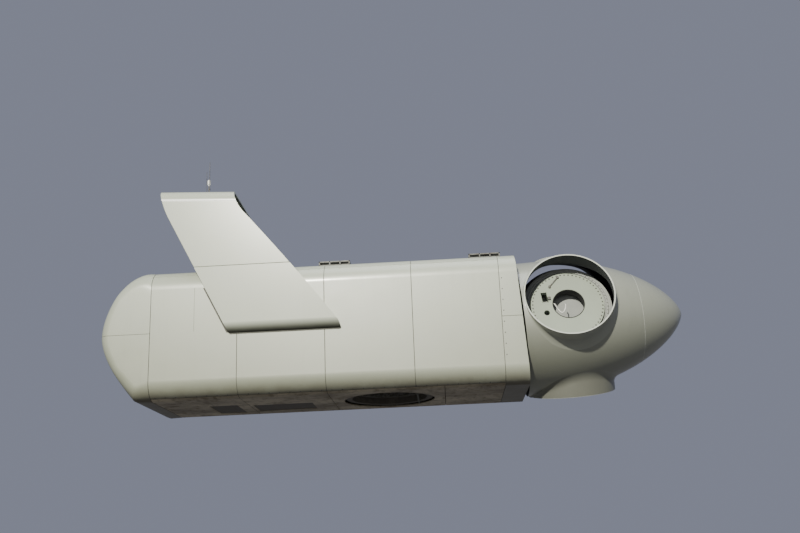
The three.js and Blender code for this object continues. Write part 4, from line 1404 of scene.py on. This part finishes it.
@dataclass
class Cooler:
    """The slanted cowl on the rear, with the radiators inside."""

    finish: Palette
    outer_y: float = 1.90
    sheet: float = 0.06
    seam_z: float = 3.15
    top_z: float = 5.18
    bend: float = 0.33
    low_z: float = 1.48
    lip_depth: float = 0.1497
    lip_height: float = 0.24
    gap: float = 0.004
    top_front: float = -3.652
    top_rear: float = -5.53
    top_rise: float = 0.048
    heel_x: float = -3.735
    rear_slope: float = 0.5153
    strip_width: float = 0.054
    radiator_foot: Point = (-3.1, 0.0, 3.3206)
    radiator_head_x: float = -4.3
    fins: int = 70

    def curve(self, knots: Sequence[tuple[float, float]], steps: int) -> list[tuple[float, float]]:
        """Points on a quadratic curve with three knots, without its last point."""
        points = []
        for i in range(steps):
            t = i / steps
            weights = ((1 - t) ** 2, 2 * t * (1 - t), t ** 2)
            points.append(tuple(sum(w * k[axis] for w, k in zip(weights, knots)) for axis in (0, 1)))
        return points

    def outline(self) -> list[tuple[float, float]]:
        """The side's outline in X and Z, from the front foot up and round to the rear foot."""
        foot = (-1.01, self.low_z)
        knee = (-1.09, 1.69)
        shoulder = (-3.36, 4.52)
        front_top = (self.top_front, self.top_z)
        rear_top = (self.top_rear, self.top_z + self.top_rise * (self.top_front - self.top_rear))
        bend = (-5.25, 4.42)
        heel = (self.heel_x, self.low_z)
        points = self.curve((foot, (-1.04, 1.63), knee), 6)
        points += self.curve((knee, (-2.18, 3.15), shoulder), 24)
        points += self.curve((shoulder, (-3.62, 4.82), front_top), 12)
        points.append(front_top)
        points += self.curve((rear_top, (-5.435, 4.76), bend), 12)
        points += [bend, heel]
        return points

    def edge_strip(self) -> list[tuple[float, float]]:
        """Lays out the dark strip that paints the cowl's shadow on the housing's wall behind its rear edge.

        Returns:
            Its outline in X and Z.
        """
        edge = [(self.heel_x - (z - self.low_z) * self.rear_slope, z) for z in (1.5, 2.64)]
        return [(x - 0.002, z) for x, z in edge] + [(x - self.strip_width, z) for x, z in reversed(edge)]

    def lower_tool(self, side: int) -> bpy.types.Object:
        """A bar with a lower side's section, which rounds in at its foot.

        Args:
            side: sign of Y.

        Returns:
            The bar that a lower side is kept within.
        """
        back = self.outer_y - self.lip_depth
        steps = 14
        section = []
        for i in range(steps + 1):
            turn = -math.pi / 2 * (1 - i / steps)
            section.append((side * (back + self.lip_depth * math.cos(turn)),
                            self.low_z + self.lip_height * (1 + math.sin(turn))))
        top = self.seam_z - self.gap
        section += [(side * self.outer_y, top), (side * back, top)]
        bar = sheet_outline("lower_tool", section, 0.5, 6.0)
        return moved(bar, Matrix.Rotation(math.pi / 2, 4, "Z"))

    def build_sides(self) -> None:
        """Builds both side sheets, each in an upper and a lower piece."""
        for side in Side:
            word = side.name.lower()
            outer = side.value * self.outer_y
            for part, depth in (("upper", self.sheet), ("lower", self.lip_depth)):
                inner = side.value * (self.outer_y - depth)
                node = f"cooler_side_{part}_{word}"
                piece = sheet_outline(f"{node}_sheet", self.outline(), min(inner, outer), max(inner, outer))
                if part == "upper":
                    slice_off(piece, (0, 0, self.seam_z + self.gap), (0, 0, -1), fill=True)
                    slice_off(piece, (self.top_front, 0, self.top_z - self.bend - 0.0005),
                              (self.top_rise, 0, 1), fill=True)
                else:
                    carve(piece, [self.lower_tool(side.value)], keep=True)
                ease(piece, 0.012 if part == "upper" else 0.008, 3, 50)
                smooth(piece, 28)
                dress(piece, Body.HOUSING, "cooler_gelcoat", self.finish.cooler, stands_for=[node])
            wall = side.value * (self.outer_y - self.lip_depth)
            out = side.value * (self.outer_y - self.lip_depth + 0.012)
            # A dark strip under the lip's foot paints the shadow that the lip casts on the wall.
            seal = cube(f"cooler_foot_seal_{word}", (-3.72, min(wall, out), self.low_z - 0.028),
                        (-1.02, max(wall, out), self.low_z - 0.001))
            dress(seal, Body.HOUSING, "hatch_panel", self.finish.seal)
            # A dark strip behind the rear edge paints the shadow that the cowl casts on the wall.
            strip = sheet_outline(f"cooler_edge_seal_{word}", self.edge_strip(),
                                  min(wall, out), max(wall, out))
            dress(strip, Body.HOUSING, "hatch_panel", self.finish.seal)

    def build_top(self) -> None:
        """Builds the top cover, bent down at both sides."""
        piece = cube("cooler_top_cover", (-6.0, -self.outer_y, 4.5), (-3.4, self.outer_y, self.top_z))
        edit(piece, "FACE", lambda spot: (
            spot.z < 4.6 or abs(spot.x + 6.0) < 0.001 or abs(spot.x + 3.4) < 0.001))
        bpy.ops.mesh.delete(type="ONLY_FACE")
        leave()
        edit(piece, "EDGE", lambda spot: (
            spot.z > self.top_z - 0.001 and abs(abs(spot.y) - self.outer_y) < 0.001))
        bpy.ops.mesh.bevel(offset=self.bend, segments=20, profile=0.5, affect="EDGES")
        leave()
        slice_off(piece, (0, 0, self.top_z - self.bend + 0.0005), (0, 0, -1))
        thicken(piece, self.sheet)
        rise = Matrix.Identity(4)
        rise[2][0] = -self.top_rise
        rise[2][3] = self.top_rise * self.top_front
        piece.data.transform(rise)
        carve(piece, [sheet_outline("top_tool", self.outline(), -2.5, 2.5)], keep=True)
        ease(piece, 0.01, 3, 50)
        smooth(piece, 28)
        dress(piece, Body.HOUSING, "cooler_gelcoat", self.finish.cooler, stands_for=["cooler_top"])

    def build_radiators(self) -> None:
        """Builds each radiator as a frame round a stack of fins."""
        foot = Vector(self.radiator_foot)
        head = Vector((self.radiator_head_x, 0, self.top_z - self.sheet - 0.0003))
        rise = head - foot
        slab = [(foot.x - 0.1, foot.z), (foot.x + 0.1, foot.z),
                (head.x + 0.1, head.z), (head.x - 0.1, head.z)]
        for index in range(3):
            low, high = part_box(f"radiator_{index + 1}")
            parts = []
            for y in (low[1] + 0.03, high[1] - 0.03):
                parts.append(sheet_outline("side", slab, y - 0.03, y + 0.03))
            for share in (0.03, 0.5, 0.97):
                at = foot + rise * share
                parts.append(cube("rail", (at.x - 0.085, low[1], at.z - 0.03),
                                  (at.x + 0.085, high[1], at.z + 0.03)))
            surround = joined(f"radiator_{index + 1}_frame", parts)
            ease(surround, 0.005, 1)
            dress(surround, Body.HOUSING, "painted_steel", self.finish.steel_paint)
            fin = cube("fin", (-0.06, low[1] + 0.06, -0.004), (0.06, high[1] - 0.06, 0.004))
            places = [Matrix.Translation(foot + rise * (0.05 + 0.9 * i / (self.fins - 1)))
                      for i in range(self.fins)]
            fins = scattered(f"radiator_{index + 1}_fins", fin, places)
            dress(fins, Body.HOUSING, "cooler_core", self.finish.core, stands_for=[f"radiator_{index + 1}"])

    def build_masts(self) -> None:
        """Builds the wind sensor and the two thin rods."""
        low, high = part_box("wind_sensor")
        at = Matrix.Translation(((low[0] + high[0]) / 2, (low[1] + high[1]) / 2, 0))
        head_foot = high[2] - 0.17
        pole = joined("wind_sensor_pole", [
            drum("mast", 0.02, low[2], head_foot, 20, at),
            drum("foot", 0.055, low[2], low[2] + 0.02, 24, at),
            drum("clamp", 0.03, low[2] + 0.3, low[2] + 0.34, 24, at),
        ])
        ease(pole, 0.003, 2)
        smooth(pole)
        dress(pole, Body.HOUSING, "painted_steel", self.finish.bolt, stands_for=["wind_sensor"])
        head = joined("wind_sensor_head", [
            drum("neck", 0.024, head_foot, head_foot + 0.04, 24, at),
            drum("head", 0.042, head_foot + 0.04, high[2] - 0.02, 24, at),
            drum("cap", 0.028, high[2] - 0.02, high[2], 24, at),
        ])
        ease(head, 0.004, 2)
        smooth(head)
        dress(head, Body.HOUSING, "painted_steel", self.finish.pale_seal)
        for node in ("lightning_rod", "thin_rod"):
            low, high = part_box(node)
            radius = (high[0] - low[0]) / 2
            at = Matrix.Translation(((low[0] + high[0]) / 2, (low[1] + high[1]) / 2, 0))
            rod = joined(f"{node}_pole", [
                drum("rod", radius, low[2], high[2], 12, at),
                drum("foot", radius * 4, low[2], low[2] + 0.03, 20, at),
            ])
            smooth(rod)
            dress(rod, Body.HOUSING, "painted_steel", self.finish.bolt, stands_for=[node])

    def build(self) -> None:
        """Builds the cooler."""
        self.build_sides()
        self.build_top()
        self.build_radiators()
        self.build_masts()
        for node in ("cooler_beam_rear", "cooler_beam_front"):
            coat_node(node, self.finish.steel_paint)


# Roof fittings and load path


@dataclass
class Fittings:
    """The lifting frames on the roof and what carries the housing inside."""

    finish: Palette
    bar: float = 0.03

    def build_frames(self) -> None:
        """Builds each lifting frame from two trays and four posts."""
        for index in range(4):
            node = f"lifting_frame_{index + 1}"
            low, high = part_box(node)
            parts = [
                cube("tray", low, (high[0], high[1], low[2] + self.bar)),
                cube("tray", (low[0], low[1], high[2] - self.bar), high),
            ]
            length = high[0] - low[0]
            for x in (low[0], low[0] + length / 3, low[0] + length * 2 / 3, high[0] - self.bar):
                for y in (low[1], high[1] - self.bar):
                    parts.append(cube("post", (x, y, low[2]), (x + self.bar, y + self.bar, high[2])))
            piece = joined(f"{node}_steel", parts)
            ease(piece, 0.003, 1)
            dress(piece, Body.HOUSING, "painted_steel", self.finish.steel_paint, stands_for=[node])

    def build(self) -> None:
        """Builds the fittings and coats what keeps its own shape."""
        self.build_frames()
        for node in ("bedplate", "main_bearing_housing", "girder_left", "girder_right"):
            coat_node(node, self.finish.cast)
        # The yaw ring takes the dark hatch colour, which paints the shade inside the tower opening.
        coat_node("yaw_ring", self.finish.hatch)


# Studio


@dataclass
class Studio:
    """Pale floor, soft lights and the camera at the photo's angle."""

    finish: Palette
    floor_z: float = -5.4
    image_width: float = 800.0
    focal_px: float = 958.87
    eye: Point = (1.405, -24.167, -3.877)
    heading: float = math.radians(-2.39)
    pitch: float = math.radians(16.88)
    roll: float = math.radians(-2.34)
    sun_azimuth: float = math.radians(-10.5)
    sun_rise: float = math.radians(26)

    def build_floor(self) -> bpy.types.Object:
        """Lays the floor well below the machine.

        Returns:
            The floor.
        """
        bpy.ops.object.select_all(action="DESELECT")
        bpy.ops.mesh.primitive_plane_add(size=240, location=(0, 0, self.floor_z))
        floor = new_name(bpy.context.active_object, "studio_floor")
        floor.data.materials.append(self.finish.ground)
        return floor

    def add_area(self, name: str, toward: Point, distance: float, size: float, power: float,
                 colour: Colour, spared: bpy.types.Object) -> None:
        """Adds a square soft light aimed at the machine's middle.

        Args:
            name: the light's name.
            toward: direction from the machine to the light.
            distance: how far away it is.
            size: its width.
            power: its power in watts.
            colour: its colour.
            spared: what it doesn't light, so that no light bounces off it.
        """
        data = bpy.data.lights.new(name, "AREA")
        data.size = size
        data.energy = power
        data.color = colour
        lamp = bpy.data.objects.new(name, data)
        aim = Vector(toward).normalized()
        lamp.matrix_world = stand(Vector((0.0, 0.0, 1.8)) + aim * distance, aim)
        bpy.context.scene.collection.objects.link(lamp)
        group = bpy.data.collections.new(f"{name}_spares")
        group.objects.link(spared)
        group.collection_objects[0].light_linking.link_state = "EXCLUDE"
        lamp.light_linking.receiver_collection = group
        lamp.visible_camera = False

    def build_lights(self, floor: bpy.types.Object) -> None:
        """Adds a key light from the sun's place in the photo, a weak top light and a pale sky."""
        level = math.cos(self.sun_rise)
        key = (math.sin(self.sun_azimuth) * level, -math.cos(self.sun_azimuth) * level,
               math.sin(self.sun_rise))
        self.add_area("key_light", key, 60.0, 1.5, 54000.0, (1.0, 0.97, 0.85), floor)
        self.add_area("top_light", (0.0, -0.2, 1.0), 22.0, 14.0, 2000.0, (0.92, 0.96, 1.0), floor)
        self.add_area("fill_light", (0.0, -1.0, -0.02), 45.0, 30.0, 2200.0, (1.0, 0.96, 0.80), floor)
        world = bpy.data.worlds.new("studio_air")
        world.use_nodes = True
        sky = world.node_tree.nodes["Background"]
        sky.inputs["Color"].default_value = (0.21, 0.225, 0.29, 1.0)
        sky.inputs["Strength"].default_value = 1.0
        bpy.context.scene.world = world

    def build_camera(self) -> None:
        """Sets the camera where the photo was taken from."""
        forward = Vector((
            math.sin(self.heading) * math.cos(self.pitch),
            math.cos(self.heading) * math.cos(self.pitch),
            math.sin(self.pitch),
        ))
        level = Vector((math.cos(self.heading), -math.sin(self.heading), 0))
        upright = level.cross(forward)
        right = level * math.cos(self.roll) + upright * math.sin(self.roll)
        up = upright * math.cos(self.roll) - level * math.sin(self.roll)
        data = bpy.data.cameras.new("camera")
        data.sensor_width = 36.0
        data.lens = self.focal_px / self.image_width * data.sensor_width
        data.clip_end = 500.0
        camera = bpy.data.objects.new("camera", data)
        columns = (right, up, -forward, Vector(self.eye))
        rows = [[column[row] for column in columns] for row in range(3)]
        camera.matrix_world = Matrix([*rows, [0, 0, 0, 1]])
        bpy.context.scene.collection.objects.link(camera)
        bpy.context.scene.camera = camera

    def build(self) -> None:
        """Builds the studio."""
        self.build_lights(self.build_floor())
        self.build_camera()


def main() -> None:
    """Builds every sub-assembly in order."""
    logging.basicConfig(level=logging.INFO, format="%(name)s: %(message)s")
    finish = Palette()
    Studio(finish).build()
    for part in (Housing, Rotor, Cooler, Fittings):
        log.info("building %s", part.__name__)
        part(finish).build()


if __name__ == "__main__":
    main()
